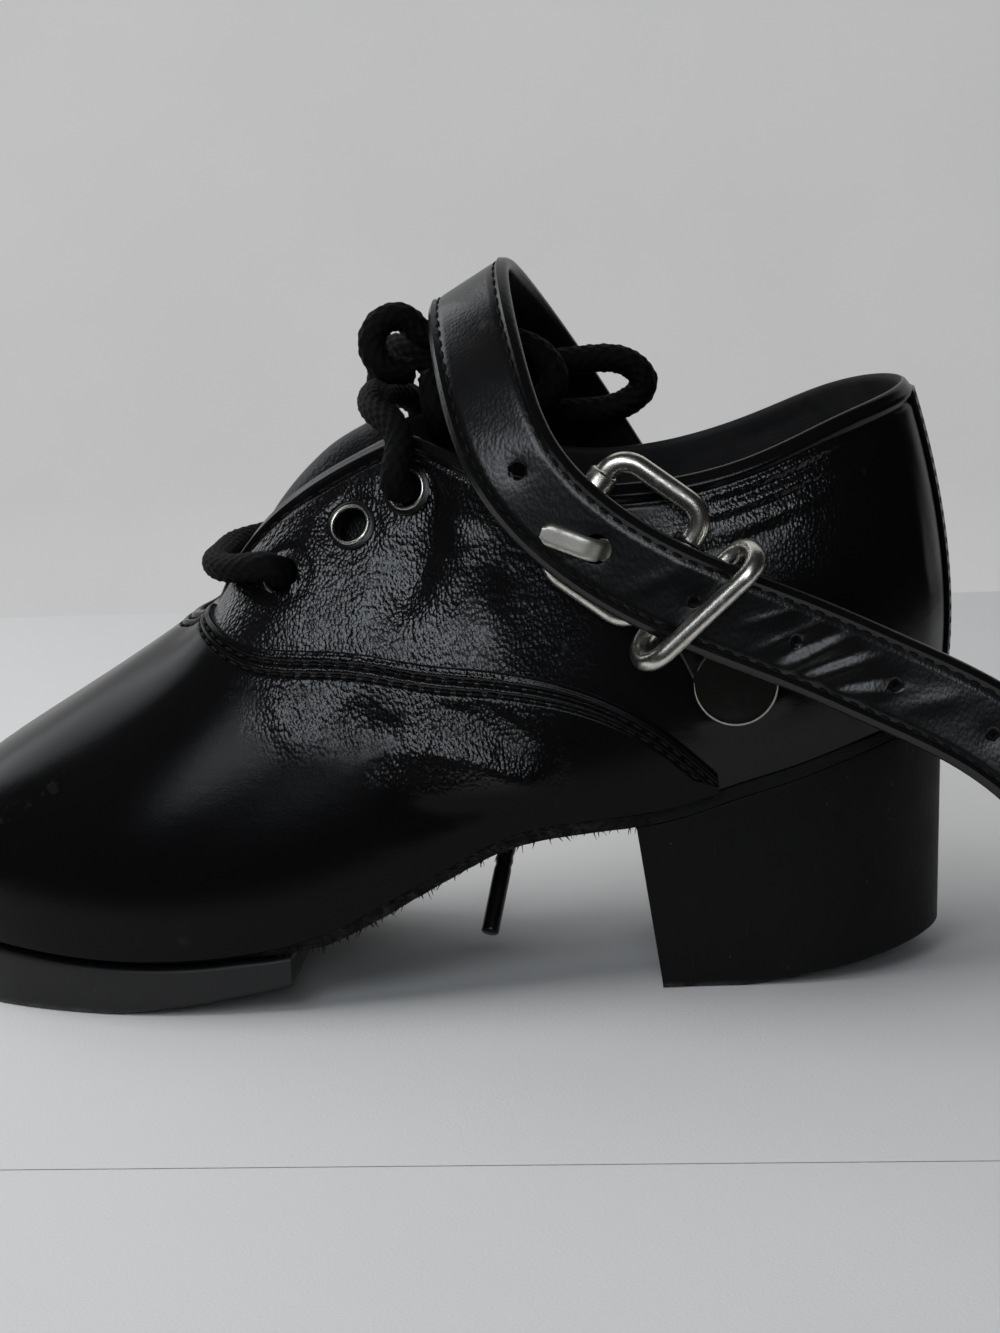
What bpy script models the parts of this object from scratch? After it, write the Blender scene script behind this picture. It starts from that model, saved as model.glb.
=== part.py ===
"""A child's left heavy shoe for Irish dancing, in metres, standing on its toe tip and heel.

+X runs from the toe to the heel, +Y from the outer (lateral) to the inner (medial) side and +Z is up.
The origin lies on the flat spot of the heel's ground face.
"""

import math
from typing import NamedTuple

import bmesh
import bpy
import numpy as np
from mathutils import Matrix, Vector

MM = 0.001

# Driving dimensions of the last
LENGTH = 165 * MM
BALL_WIDTH = 64 * MM
INSTEP_HEIGHT = 85 * MM
HEEL_HEIGHT = 41 * MM
BACK_X = 35.3 * MM

# Thicknesses and clearances
WALL = 1.6 * MM
VAMP_STEP = 0.9 * MM
INSOLE_THICK = 1.4 * MM
TONGUE_THICK = 2.0 * MM
STRIP_THICK = 0.6 * MM
STRIP_HALF_WIDTH = 3.0 * MM
GAP = 0.3 * MM
RIM_LEAN = 20 * MM

# How finely the upper is faceted
COLUMNS = 60
VAMP_ROWS = 6
QUARTER_ROWS = 6
LINING_ROWS = 9

# Toe tip and heel
TIP_FLAT_X = (-114 * MM, -95 * MM)
TIP_REAR_X = -66 * MM
TIP_REAR_LIFT = 4.2 * MM
TIP_TOE_LIFT = 1.8 * MM
HEEL_TOP_X = (-13.2 * MM, 34.5 * MM)
HEEL_GROUND_X = (-10.0 * MM, 35.0 * MM)
HEEL_FLAT_END_X = 2.5 * MM
HEEL_BACK_LIFT = 4.8 * MM
HEEL_TAPER = 1.6 * MM
HEEL_END = 0.985
BREAST_SLANT = 2.4 * MM
EDGE_BEVEL = 0.5 * MM

# Eyelets
EYELET_BORE = 2.0 * MM
EYELET_BARREL = 2.4 * MM
EYELET_FLANGE = 3.6 * MM
EYELET_LIP = 0.6 * MM
EYELET_HOLE = 2.8 * MM
DRILL_LENGTH = 9 * MM

# Lace
LACE_RADIUS = 2.2 * MM
AGLET_RADIUS = 1.45 * MM

# Strap and buckle
STRAP_WIDTH = 14.8 * MM
STRAP_THICK = 2.3 * MM
STRAP_SECTIONS = 56
STRAP_HOLE = 1.5 * MM
PRONG_HOLE = 2.3 * MM
HOLE_PITCH = 16.0 * MM
BUCKLE_CENTRE = (-13.4 * MM, -28.1 * MM, 70.9 * MM)
BUCKLE_PITCH = math.atan2(0.6, 0.8)
BUCKLE_ALONG = 16.0 * MM
BUCKLE_ACROSS = 20.0 * MM
BUCKLE_CORNER = 3.6 * MM
BUCKLE_WIRE = 1.4 * MM
ROLLER_LENGTH = 13.0 * MM
ROLLER_RADIUS = 2.2 * MM
PRONG_TURN = math.radians(15)
PRONG_WIDTH = 2.8 * MM
PRONG_THICK = 1.4 * MM
PRONG_ON_STRAP = 6.8 * MM
PRONG_STEP = ((10.1, 2.9), (10.8, 4.3), (11.1, 5.7))
KEEPER_CENTRE = (-3.0 * MM, -32.9 * MM, 61.7 * MM)
KEEPER_PITCH = math.radians(42)
KEEPER_LENGTH = 21.0 * MM
KEEPER_DEPTH = 6.0 * MM
KEEPER_WIRE = 1.3 * MM
TAB_Y = -27.6 * MM
TAB_THICK = 1.5 * MM
TAB_WIDTH = 11.0 * MM
TAB_FOLD = 0.8 * MM
PRONG_SLOT = 5.2 * MM
RIVET_LAT = (2.3 * MM, 49.0 * MM)
RIVET_RADIUS = 6.3 * MM
RIVET_THICK = 1.1 * MM
RIVET_MED_RADIUS = 5.0 * MM


class Station(NamedTuple):
    """A section of the last, in percent: x of LENGTH from the back, y of BALL_WIDTH, z of INSTEP_HEIGHT."""

    foot_x: float  # feather edge
    foot_lat: float
    foot_med: float
    rim_x: float  # edge of the throat, facing and collar
    rim_lat: float
    rim_med: float
    rim_z: float
    med_up: float  # how much higher the rim is on the medial side
    swell: float  # the lower handle of the wall's curve, outwards
    rise: float  # and upwards
    spread: float  # the upper handle of the wall's curve, outwards
    drop: float  # and downwards
    seam: float  # share of the wall's height at the vamp's edge, none below zero


STATIONS = (
    Station(99.3, 3, 3, 69.7, 3, 3, 68.7, 0, 4.7, 24.5, 53.5, 28.5, 1.0),
    Station(96.5, -22, 26.5, 69.5, -0.5, 6, 68.9, 0, 5, 23.5, 50, 25.5, 1.0),
    Station(89.3, -38, 41.5, 69, -4, 9.5, 69.3, 0, 5.5, 22.5, 42, 21, 1.0),
    Station(79, -47.5, 48.5, 68.4, -7, 12, 71.2, 0.3, 6.5, 22.5, 33, 15.5, 0.95),
    Station(66.8, -49.5, 45.5, 66, -10, 14, 80, 0.5, 7, 24, 27, 16.9, 0.74),
    Station(53, -44.5, 35, 59, -13.5, 16.5, 92, 0.5, 7, 26, 23, 21.5, 0.58),
    Station(43.2, -40, 29.5, 52.8, -16, 19, 98.3, 0.5, 7, 26, 20, 19.8, 0.42),
    Station(38.4, -38, 28.5, 49.9, -20, 22.5, 99.8, 0.5, 7.5, 24, 16, 20, 0.385),
    Station(33.5, -37, 28.5, 43.8, -29, 30, 95.5, 0.7, 8, 22, 8, 22, 0.39),
    Station(25.6, -35.5, 31, 32.3, -34, 33, 91, 0.8, 8, 17, 7, 23, 0.26),
    Station(16.5, -34.5, 33.5, 19, -33, 32, 94.5, 2.2, 7.5, 16, 7, 21, -0.2),
    Station(8.7, -28.5, 28, 10.8, -26, 26, 100.5, 2.4, 6.5, 16, 7, 20, -0.2),
    Station(3.2, -15.5, 15.5, 5.3, -14.5, 14.5, 104, 1.6, 5.5, 16, 7.5, 19.5, -0.2),
    Station(0.9, 0, 0, 3.3, 0, 0, 105.6, 0, 5, 16.5, 7.6, 19.5, -0.2),
)

# Height of the sole's upper face: x in percent of LENGTH from the back, z in percent of HEEL_HEIGHT
SOLE_PROFILE = (
    (102, 32),
    (90, 26),
    (80, 22.5),
    (70, 22.7),
    (61.5, 27),
    (56, 34),
    (51, 44),
    (46, 54.5),
    (42, 62),
    (37, 66.5),
    (30.5, 69.2),
    (25.3, 72.5),
    (21, 78),
    (14.4, 85.6),
    (8, 93.5),
    (-1, 101),
)

# The outsole's edge: x in percent of LENGTH from the back, then its inset from the feather edge and
# its thickness in millimetres
SOLE_EDGE = (
    (100, 2.4, 1.2),
    (66, 2.2, 1.2),
    (58, 0.4, 2.2),
    (30, 0.3, 2.3),
    (20, 0.6, 2.3),
    (0, -0.5, 1.8),
)

# Tongue, bottom to top: x and z of its crown, half width, and how far its edges fall, in millimetres
TONGUE_CENTRE_Y = 0.6 * MM
TONGUE_ROWS = (
    (-89.0, 46.6, 8.0, 2.6),
    (-84.0, 49.6, 9.0, 3.6),
    (-78.4, 53.6, 10.0, 6.0),
    (-74.4, 61.0, 10.4, 12.0),
    (-70.8, 69.2, 11.0, 17.6),
    (-62.0, 80.2, 12.2, 22.0),
    (-53.0, 86.0, 12.6, 19.4),
    (-49.2, 88.4, 11.2, 15.5),
)

# Eyelets up the facing: place among the stations, share of the wall's height
EYELETS = ((4.55, 0.83), (5.38, 0.85), (6.5, 0.865))


class StrapRow(NamedTuple):
    """A point of the strap's centre line in millimetres, the way its outer face looks, and a width share."""

    x: float
    y: float
    z: float
    face_x: float
    face_y: float
    face_z: float
    width: float


STRAP_ROWS = (
    StrapRow(-2.0, 26.9, 43.0, 0.0, 1.0, 0.05, 0.7),
    StrapRow(-3.6, 27.1, 46.5, 0.0, 1.0, 0.05, 1.0),
    StrapRow(-10.5, 27.4, 61.0, 0.0, 1.0, 0.1, 1.0),
    StrapRow(-18.3, 26.6, 75.0, -0.15, 0.95, 0.3, 1.0),
    StrapRow(-28.0, 20.5, 92.0, -0.35, 0.7, 0.62, 1.0),
    StrapRow(-34.5, 9.5, 103.3, -0.48, 0.33, 0.81, 1.0),
    StrapRow(-36.9, -3.0, 107.1, -0.51, -0.05, 0.86, 1.0),
    StrapRow(-36.0, -14.5, 102.5, -0.45, -0.45, 0.77, 1.0),
    StrapRow(-33.6, -23.5, 93.8, -0.3, -0.8, 0.5, 1.0),
    StrapRow(-28.8, -30.4, 82.4, -0.15, -0.97, 0.2, 1.0),
    StrapRow(-17.3, -32.8, 70.4, 0.0, -1.0, 0.03, 1.0),
    StrapRow(-3.2, -33.1, 62.3, 0.0, -1.0, 0.03, 1.0),
    StrapRow(11.5, -32.0, 55.8, 0.02, -1.0, 0.05, 1.0),
    StrapRow(25.5, -30.8, 48.9, 0.0, -1.0, 0.1, 1.0),
    StrapRow(38.4, -31.2, 42.0, 0.05, -1.0, 0.12, 1.0),
    StrapRow(49.2, -32.0, 32.4, 0.1, -1.0, 0.15, 1.0),
    StrapRow(54.0, -32.6, 25.0, 0.15, -1.0, 0.15, 0.85),
    StrapRow(56.2, -33.0, 20.6, 0.15, -1.0, 0.15, 0.3),
)
PRONG_ROW = 10
HOLES_BEFORE = 1
HOLES_AFTER = 4

# Routes of the lace in millimetres, from the eyelet or knot outwards
LACE_BAR_LOW = (
    (-73.6, -15.0, 66.2),
    (-78.0, -7.8, 66.0),
    (-78.6, 1.0, 65.8),
    (-78.0, 10.4, 66.2),
    (-73.6, 17.6, 66.6),
)
LACE_BAR_TOP = (
    (-47.4, -16.8, 84.4),
    (-51.3, -10.0, 88.9),
    (-53.0, 0.5, 90.6),
    (-51.3, 11.5, 89.8),
    (-47.6, 18.6, 85.6),
)
LACE_LOOP_HEEL = (
    (-37.2, 3.4, 92.4),
    (-27.5, 6.2, 93.8),
    (-19.0, 9.0, 94.4),
    (-13.2, 10.4, 93.2),
    (-11.2, 11.0, 90.2),
    (-13.8, 11.4, 87.2),
    (-20.0, 11.4, 85.8),
    (-27.5, 9.6, 86.0),
    (-37.8, 6.2, 87.0),
)
LACE_LOOP_UP = (
    (-46.6, -2.4, 93.2),
    (-51.0, -4.2, 94.6),
    (-52.4, -4.0, 98.8),
    (-50.8, -3.2, 102.2),
    (-47.6, -2.0, 102.8),
    (-44.8, -1.0, 100.4),
    (-41.8, -0.4, 99.1),
    (-38.0, -0.2, 98.9),
    (-31.5, -0.6, 98.4),
    (-26.2, -1.2, 95.8),
    (-24.6, -2.2, 91.8),
    (-28.0, -3.2, 88.6),
    (-35.0, -3.4, 88.0),
)
LACE_END_LONG = (
    (-41.0, 7.85, 89.2),
    (-42.0, 15.5, 90.4),
    (-41.0, 23.0, 85.5),
    (-39.4, 25.6, 75.0),
    (-38.0, 26.8, 62.0),
    (-36.8, 28.0, 48.0),
    (-35.8, 27.6, 36.0),
    (-35.3, 25.6, 27.0),
    (-35.6, 20.6, 19.6),
    (-36.0, 14.1, 14.9),
)
AGLET_LONG = ((-36.1, 13.4, 14.2), (-38.9, 4.8, 1.6))
LACE_END_SHORT = (
    (-42.4, 4.0, 93.4),
    (-48.6, 8.8, 96.4),
    (-53.4, 16.0, 94.5),
    (-54.6, 20.6, 87.0),
    (-55.4, 24.0, 77.0),
    (-55.8, 27.0, 66.0),
    (-55.6, 29.6, 57.0),
)
AGLET_SHORT = ((-55.58, 29.8, 56.4), (-55.2, 32.2, 42.0))
KNOT_CENTRE = (-40.5 * MM, 0.5 * MM, 88.8 * MM)
KNOT_RADIUS = 4.8 * MM
KNOT_LENGTH = 6.6 * MM
KNOT_TURNS = 1.35


def cubic(knots, rows, period=None):
    """The smooth curve through rows at those knots, as a function; closed on itself where it has a period."""
    knots = np.asarray(knots, float)
    rows = np.asarray(rows, float)
    if period:
        knots = np.append(knots, knots[0] + period)
        rows = np.vstack([rows, rows[:1]])
    steps = np.diff(knots)
    slopes = np.diff(rows, axis=0) / steps[:, None]
    matrix = np.zeros((len(knots), len(knots)))
    right = np.zeros_like(rows)
    for i in range(1, len(knots) - 1):
        matrix[i, i - 1 : i + 2] = steps[i - 1], 2 * (steps[i - 1] + steps[i]), steps[i]
        right[i] = 6 * (slopes[i] - slopes[i - 1])
    matrix[0, 0] = 1
    if period:
        matrix[0, -1] = -1
        matrix[-1, 0] = 2 * (steps[-1] + steps[0])
        matrix[-1, 1] = steps[0]
        matrix[-1, -2] = steps[-1]
        right[-1] = 6 * (slopes[0] - slopes[-1])
    else:
        matrix[-1, -1] = 1
    bend = np.linalg.solve(matrix, right)

    def at(where):
        where = np.atleast_1d(np.asarray(where, float))
        if period:
            where = knots[0] + (where - knots[0]) % period
        i = np.clip(np.searchsorted(knots, where, side="right") - 1, 0, len(steps) - 1)
        w = ((where - knots[i]) / steps[i])[:, None]
        curve = ((1 - w) ** 3 - (1 - w)) * bend[i] + (w**3 - w) * bend[i + 1]
        return (1 - w) * rows[i] + w * rows[i + 1] + steps[i][:, None] ** 2 / 6 * curve

    return at


def lengths(points):
    """How far along the chain of points each one lies."""
    return np.concatenate([[0], np.cumsum(np.linalg.norm(np.diff(points, axis=0), axis=1))])


def unit(vectors):
    return vectors / np.linalg.norm(vectors, axis=-1, keepdims=True)


def from_back(percent):
    """x of a place given in percent of the shoe's length from its back."""
    return BACK_X - np.asarray(percent, float) * LENGTH / 100


class Last:
    """The shoe's form: curves from the feather edge up to the rim, all the way round."""

    def __init__(self):
        table = np.array(STATIONS)
        lateral = self.side(table, "lat")
        medial = self.side(table, "med")
        steps = (self.spacing(lateral) + self.spacing(medial)) / 2
        self.marks = np.concatenate([[0], np.cumsum(steps)])
        self.back = self.marks[-1]
        self.period = 2 * self.back
        knots = np.concatenate([self.marks, self.period - self.marks[-2:0:-1]])
        self.columns = cubic(knots, np.vstack([lateral, medial[-2:0:-1]]), self.period)
        x, z = np.array(SOLE_PROFILE)[::-1].T
        self.sole = cubic(from_back(x)[::-1], (z * HEEL_HEIGHT / 100)[::-1, None])

    @staticmethod
    def side(table, name):
        column = {field: table[:, i] for i, field in enumerate(Station._fields)}
        medial = column["med_up"] if name == "med" else 0
        return np.stack(
            [
                from_back(column["foot_x"]),
                column[f"foot_{name}"] * BALL_WIDTH / 100,
                from_back(column["rim_x"]),
                column[f"rim_{name}"] * BALL_WIDTH / 100,
                (column["rim_z"] + medial) * INSTEP_HEIGHT / 100,
                column["swell"] * BALL_WIDTH / 100,
                column["rise"] * INSTEP_HEIGHT / 100,
                column["spread"] * BALL_WIDTH / 100,
                column["drop"] * INSTEP_HEIGHT / 100,
                column["seam"],
            ],
            axis=1,
        )

    @staticmethod
    def spacing(side):
        foot = np.linalg.norm(np.diff(side[:, 0:2], axis=0), axis=1)
        rim = np.linalg.norm(np.diff(side[:, 2:5], axis=0), axis=1)
        return (foot + rim) / 2

    def sole_top(self, x):
        return self.sole(x)[:, 0]

    def at_station(self, place):
        """The place round the shoe of a station number, also between two stations, on the lateral side."""
        return float(np.interp(place, np.arange(len(self.marks)), self.marks))

    def at_foot_x(self, x):
        """The place round the shoe where the lateral feather edge has that x."""
        places = np.linspace(0, self.back, 400)
        return float(np.interp(x, self.columns(places)[:, 0], places))

    def outward(self, s):
        """The way out from the feather edge, in plan."""
        step = self.period * 1e-4
        along = self.columns(s + step)[:, 0:2] - self.columns(s - step)[:, 0:2]
        return unit(np.stack([along[:, 1], -along[:, 0]], axis=1))

    def outline(self, s, inset):
        """x and y of the feather edge, moved inwards by inset."""
        s = np.atleast_1d(s)
        return self.columns(s)[:, 0:2] - self.outward(s) * np.reshape(inset, (-1, 1))

    def seam(self, s):
        return np.clip(self.columns(s)[:, 9], 0.05, 0.97)

    def point(self, s, t):
        s, t = np.broadcast_arrays(np.atleast_1d(s), np.atleast_1d(t))
        c = self.columns(s)
        out = self.outward(s)
        foot = np.column_stack([c[:, 0], c[:, 1], self.sole_top(c[:, 0])])
        rim = c[:, 2:5]
        lean = unit(foot[:, :2] - rim[:, :2] + RIM_LEAN * out)
        low = foot + np.column_stack([out * c[:, 5:6], c[:, 6]])
        high = rim + np.column_stack([lean * c[:, 7:8], -c[:, 8]])
        t = t[:, None]
        return (1 - t) ** 3 * foot + 3 * t * (1 - t) ** 2 * low + 3 * t**2 * (1 - t) * high + t**3 * rim

    def normal(self, s, t):
        s, t = np.broadcast_arrays(np.atleast_1d(s), np.atleast_1d(t))
        step = self.period * 1e-4
        around = self.point(s + step, t) - self.point(s - step, t)
        upward = self.point(s, np.minimum(t + 1e-3, 1)) - self.point(s, np.maximum(t - 1e-3, 0))
        return unit(np.cross(around, upward))

    def shifted(self, s, t, out):
        """A point of the wall, moved out along its normal."""
        return self.point(s, t) + self.normal(s, t) * np.reshape(out, (-1, 1))


def smooth_step(value, low, high):
    share = np.clip((np.asarray(value, float) - low) / (high - low), 0, 1)
    return share * share * (3 - 2 * share)


def finish(name, colour, roughness, metallic=0.0):
    material = bpy.data.materials.new(name)
    material.use_nodes = True
    shader = material.node_tree.nodes["Principled BSDF"]
    shader.inputs["Base Color"].default_value = (*colour, 1)
    shader.inputs["Roughness"].default_value = roughness
    shader.inputs["Metallic"].default_value = metallic
    return material


def add(name, data, collection, material=None):
    thing = bpy.data.objects.new(name, data)
    collection.objects.link(thing)
    if material:
        data.materials.append(material)
    return thing


def loft_mesh(name, rings, closed=False):
    """A skin over rings of points; open ends are closed by joining each ring's first half to its second."""
    rings = np.asarray(rings, float)
    count, size = rings.shape[:2]
    shape = bmesh.new()
    corners = [[shape.verts.new(p) for p in ring] for ring in rings]
    for i in range(count if closed else count - 1):
        here, there = corners[i], corners[(i + 1) % count]
        for k in range(size):
            n = (k + 1) % size
            shape.faces.new((here[k], here[n], there[n], there[k]))
    if not closed:
        for ring in (corners[0], corners[-1]):
            for k in range(size // 2 - 1):
                shape.faces.new((ring[k], ring[k + 1], ring[size - 2 - k], ring[size - 1 - k]))
    bmesh.ops.recalc_face_normals(shape, faces=shape.faces)
    mesh = bpy.data.meshes.new(name)
    shape.to_mesh(mesh)
    shape.free()
    mesh.shade_smooth()
    mesh.set_sharp_from_angle(angle=math.radians(40))
    return mesh


def plate_mesh(name, rings):
    """A flat plate between two like outlines."""
    shape = bmesh.new()
    corners = [[shape.verts.new(p) for p in ring] for ring in rings]
    for ring in corners:
        shape.faces.new(ring)
    count = len(corners[0])
    for k in range(count):
        n = (k + 1) % count
        shape.faces.new((corners[0][k], corners[0][n], corners[1][n], corners[1][k]))
    bmesh.ops.recalc_face_normals(shape, faces=shape.faces)
    mesh = bpy.data.meshes.new(name)
    shape.to_mesh(mesh)
    shape.free()
    return mesh


def sheet_rings(middle, thickness):
    """Rings round each row of a grid of points, thick on both sides."""
    across = np.gradient(middle, axis=1)
    along = np.gradient(middle, axis=0)
    half = unit(np.cross(along, across)) * thickness / 2
    return np.concatenate([middle + half, (middle - half)[:, ::-1]], axis=1)


def cutter(name, mesh, matrix, collection):
    thing = add(name, mesh, collection)
    thing.matrix_world = matrix
    thing.hide_render = True
    thing.display_type = "WIRE"
    return thing


def combine(thing, other, operation):
    change = thing.modifiers.new(f"{operation.lower()} {other.name}", "BOOLEAN")
    change.operation = operation
    change.solver = "EXACT"
    change.object = other


def cylinder_mesh(name, radius, depth, sides=16):
    shape = bmesh.new()
    bmesh.ops.create_cone(shape, cap_ends=True, segments=sides, radius1=radius, radius2=radius, depth=depth)
    mesh = bpy.data.meshes.new(name)
    shape.to_mesh(mesh)
    shape.free()
    return mesh


def box_mesh(name, size):
    shape = bmesh.new()
    bmesh.ops.create_cube(shape, size=1, matrix=Matrix.Diagonal((*size, 1)))
    mesh = bpy.data.meshes.new(name)
    shape.to_mesh(mesh)
    shape.free()
    return mesh


def turned(name, profile, collection, material, sides=16):
    """A profile of (radius, height) points, run down its outer side, turned about local Z."""
    mesh = bpy.data.meshes.new(name)
    points = [(radius, 0, height) for radius, height in profile]
    edges = [(i, (i + 1) % len(points)) for i in range(len(points))]
    mesh.from_pydata(points, edges, [])
    thing = add(name, mesh, collection, material)
    turn = thing.modifiers.new("turn", "SCREW")
    turn.steps = sides
    turn.render_steps = sides
    turn.use_merge_vertices = True
    turn.merge_threshold = 0.00001
    return thing


def tube(name, points, radius, collection, material, closed=False):
    curve = bpy.data.curves.new(name, "CURVE")
    curve.dimensions = "3D"
    curve.bevel_depth = radius
    curve.bevel_resolution = 2
    curve.use_fill_caps = not closed
    spline = curve.splines.new("POLY")
    spline.points.add(len(points) - 1)
    for place, point in zip(spline.points, points):
        place.co = (*point, 1)
    spline.use_cyclic_u = closed
    spline.use_smooth = True
    return add(name, curve, collection, material)


def smooth_route(points, step):
    """Points about a step apart on the smooth curve through the route's own points."""
    points = np.asarray(points, float)
    along = lengths(points)
    curve = cubic(along, points)
    fine = curve(np.linspace(0, along[-1], 600))
    run = lengths(fine)
    wanted = np.linspace(0, run[-1], max(3, round(run[-1] / step) + 1))
    return np.stack([np.interp(wanted, run, fine[:, k]) for k in range(3)], axis=1)


def aim(place, direction, up=(0, 0, 1)):
    """A matrix at place whose Z looks along direction and whose X lies nearest to up."""
    z = Vector(direction).normalized()
    x = (Vector(up) - z * z.dot(Vector(up))).normalized()
    y = z.cross(x)
    return Matrix.Translation(Vector(place)) @ Matrix((x, y, z)).transposed().to_4x4()


def rounded_rectangle(width, height, corner, steps=5):
    """Points round a rectangle with round corners, in its own plane."""
    points = []
    for quarter in range(4):
        turn = math.pi / 2 * quarter
        x = (width / 2 - corner) * (1 if quarter in (0, 3) else -1)
        y = (height / 2 - corner) * (1 if quarter in (0, 1) else -1)
        for i in range(steps):
            angle = turn + math.pi / 2 * i / (steps - 1)
            points.append((x + corner * math.cos(angle), y + corner * math.sin(angle)))
    return points


def build_upper(last, shoe, cutters, material):
    """One hollow wall: the vamp stands a step proud of the quarters, and six eyelet holes go through."""
    s = np.arange(COLUMNS) * last.period / COLUMNS
    seam = last.seam(s)
    proud = VAMP_STEP * (0.1 + 0.9 * smooth_step(seam, 0.05, 0.12))
    level = VAMP_STEP * 0.9 * smooth_step(seam, 0.88, 0.95)
    outer = [last.shifted(s, seam * k / VAMP_ROWS, proud) for k in range(VAMP_ROWS + 1)]
    outer += [
        last.shifted(s, seam + (1 - seam) * k / QUARTER_ROWS, level) for k in range(QUARTER_ROWS + 1)
    ]
    inner = [last.shifted(s, np.full(COLUMNS, k / LINING_ROWS), -WALL) for k in range(LINING_ROWS, -1, -1)]
    rings = np.stack(outer + inner, axis=1)
    upper = add("upper", loft_mesh("upper", rings, closed=True), shoe, material)
    for name, place, way in eyelet_places(last):
        drill = cylinder_mesh(f"hole_{name}", EYELET_HOLE, DRILL_LENGTH)
        hole = cutter(f"hole_{name}", drill, aim(place, way), cutters)
        combine(upper, hole, "DIFFERENCE")
    return upper


def eyelet_places(last):
    """Name, centre on the wall's outer face and outward direction of each eyelet."""
    found = []
    for number, (station, height) in enumerate(EYELETS, 1):
        s = last.at_station(station)
        for side, place in (("lat", s), ("med", last.period - s)):
            centre = last.point(place, height)[0]
            found.append((f"{side}_{number}", centre, last.normal(place, height)[0]))
    return found


def build_eyelets(last, shoe, material):
    profile = (
        (EYELET_BORE, -WALL - GAP),
        (EYELET_BORE, GAP + EYELET_LIP),
        (EYELET_FLANGE - EYELET_LIP, GAP + EYELET_LIP),
        (EYELET_FLANGE, GAP + EYELET_LIP / 2),
        (EYELET_FLANGE, GAP),
        (EYELET_BARREL, GAP),
        (EYELET_BARREL, -WALL - GAP),
    )
    for name, place, way in eyelet_places(last):
        eyelet = turned(f"eyelet_{name}", profile, shoe, material)
        eyelet.matrix_world = aim(place, way)


def plan_rings(lateral, medial, bottom, top):
    """Four-cornered sections between two outlines in plan."""
    return np.stack(
        [
            np.column_stack([lateral[0], bottom(lateral[0][:, 0])]),
            np.column_stack([medial[0], bottom(medial[0][:, 0])]),
            np.column_stack([medial[1], top(medial[1][:, 0])]),
            np.column_stack([lateral[1], top(lateral[1][:, 0])]),
        ],
        axis=1,
    )


def eased(first, last_one, count):
    """Places between two ends, closer together near both."""
    return first + (last_one - first) * (1 - np.cos(np.linspace(0, math.pi, count))) / 2


def sole_inset(x):
    percent, inset, _ = np.array(SOLE_EDGE).T
    return np.interp(x, from_back(percent), inset * MM)


def sole_thickness(x):
    percent, _, thickness = np.array(SOLE_EDGE).T
    return np.interp(x, from_back(percent), thickness * MM)


def under_sole(last, x):
    """Height of what lies just under the outsole."""
    return last.sole_top(x) - 2 * GAP - sole_thickness(x)


def build_outsole(last, shoe, material):
    s = eased(0.02 * last.back, 0.985 * last.back, 44)
    inset = sole_inset(last.columns(s)[:, 0])
    lateral = last.outline(s, inset)
    medial = last.outline(-s, inset)
    rings = plan_rings(
        (lateral, lateral),
        (medial, medial),
        lambda x: last.sole_top(x) - GAP - sole_thickness(x),
        lambda x: last.sole_top(x) - GAP,
    )
    return add("outsole", loft_mesh("outsole", rings), shoe, material)


def build_insole(last, shoe, material):
    s = eased(0.03 * last.back, 0.975 * last.back, 30)
    inset = np.full(len(s), WALL + 3 * GAP)
    lateral = last.outline(s, inset)
    medial = last.outline(-s, inset)
    rings = plan_rings(
        (lateral, lateral), (medial, medial), last.sole_top, lambda x: last.sole_top(x) + INSOLE_THICK
    )
    return add("insole", loft_mesh("insole", rings), shoe, material)


def tip_ground(x):
    """The tip's lower face: flat under the ball, rising a little to the toe and to its rear end."""
    front, rear = TIP_FLAT_X
    to_toe = np.clip((front - x) / (front - from_back(100)), 0, None)
    to_rear = np.clip((x - rear) / (TIP_REAR_X - rear), 0, None)
    return TIP_TOE_LIFT * to_toe**2 + TIP_REAR_LIFT * to_rear**1.3


def soften(thing):
    bevel = thing.modifiers.new("soft edges", "BEVEL")
    bevel.width = EDGE_BEVEL
    bevel.segments = 1
    bevel.limit_method = "ANGLE"
    bevel.angle_limit = math.radians(50)


def build_toe_tip(last, shoe, material):
    flats = [last.at_foot_x(x) for x in TIP_FLAT_X]
    s = np.unique(np.concatenate([eased(0.02 * last.back, last.at_foot_x(TIP_REAR_X), 22), flats]))
    lateral = last.outline(s, 0)
    medial = last.outline(-s, 0)
    rings = plan_rings(
        (lateral, lateral), (medial, medial), tip_ground, lambda x: under_sole(last, x)
    )
    tip = add("toe_tip", loft_mesh("toe_tip", rings), shoe, material)
    soften(tip)
    return tip


def heel_ground(x):
    """The heel's lower face: flat behind the breast, then lifting to the back."""
    return HEEL_BACK_LIFT * np.clip((x - HEEL_FLAT_END_X) / (HEEL_GROUND_X[1] - HEEL_FLAT_END_X), 0, None)


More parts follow.
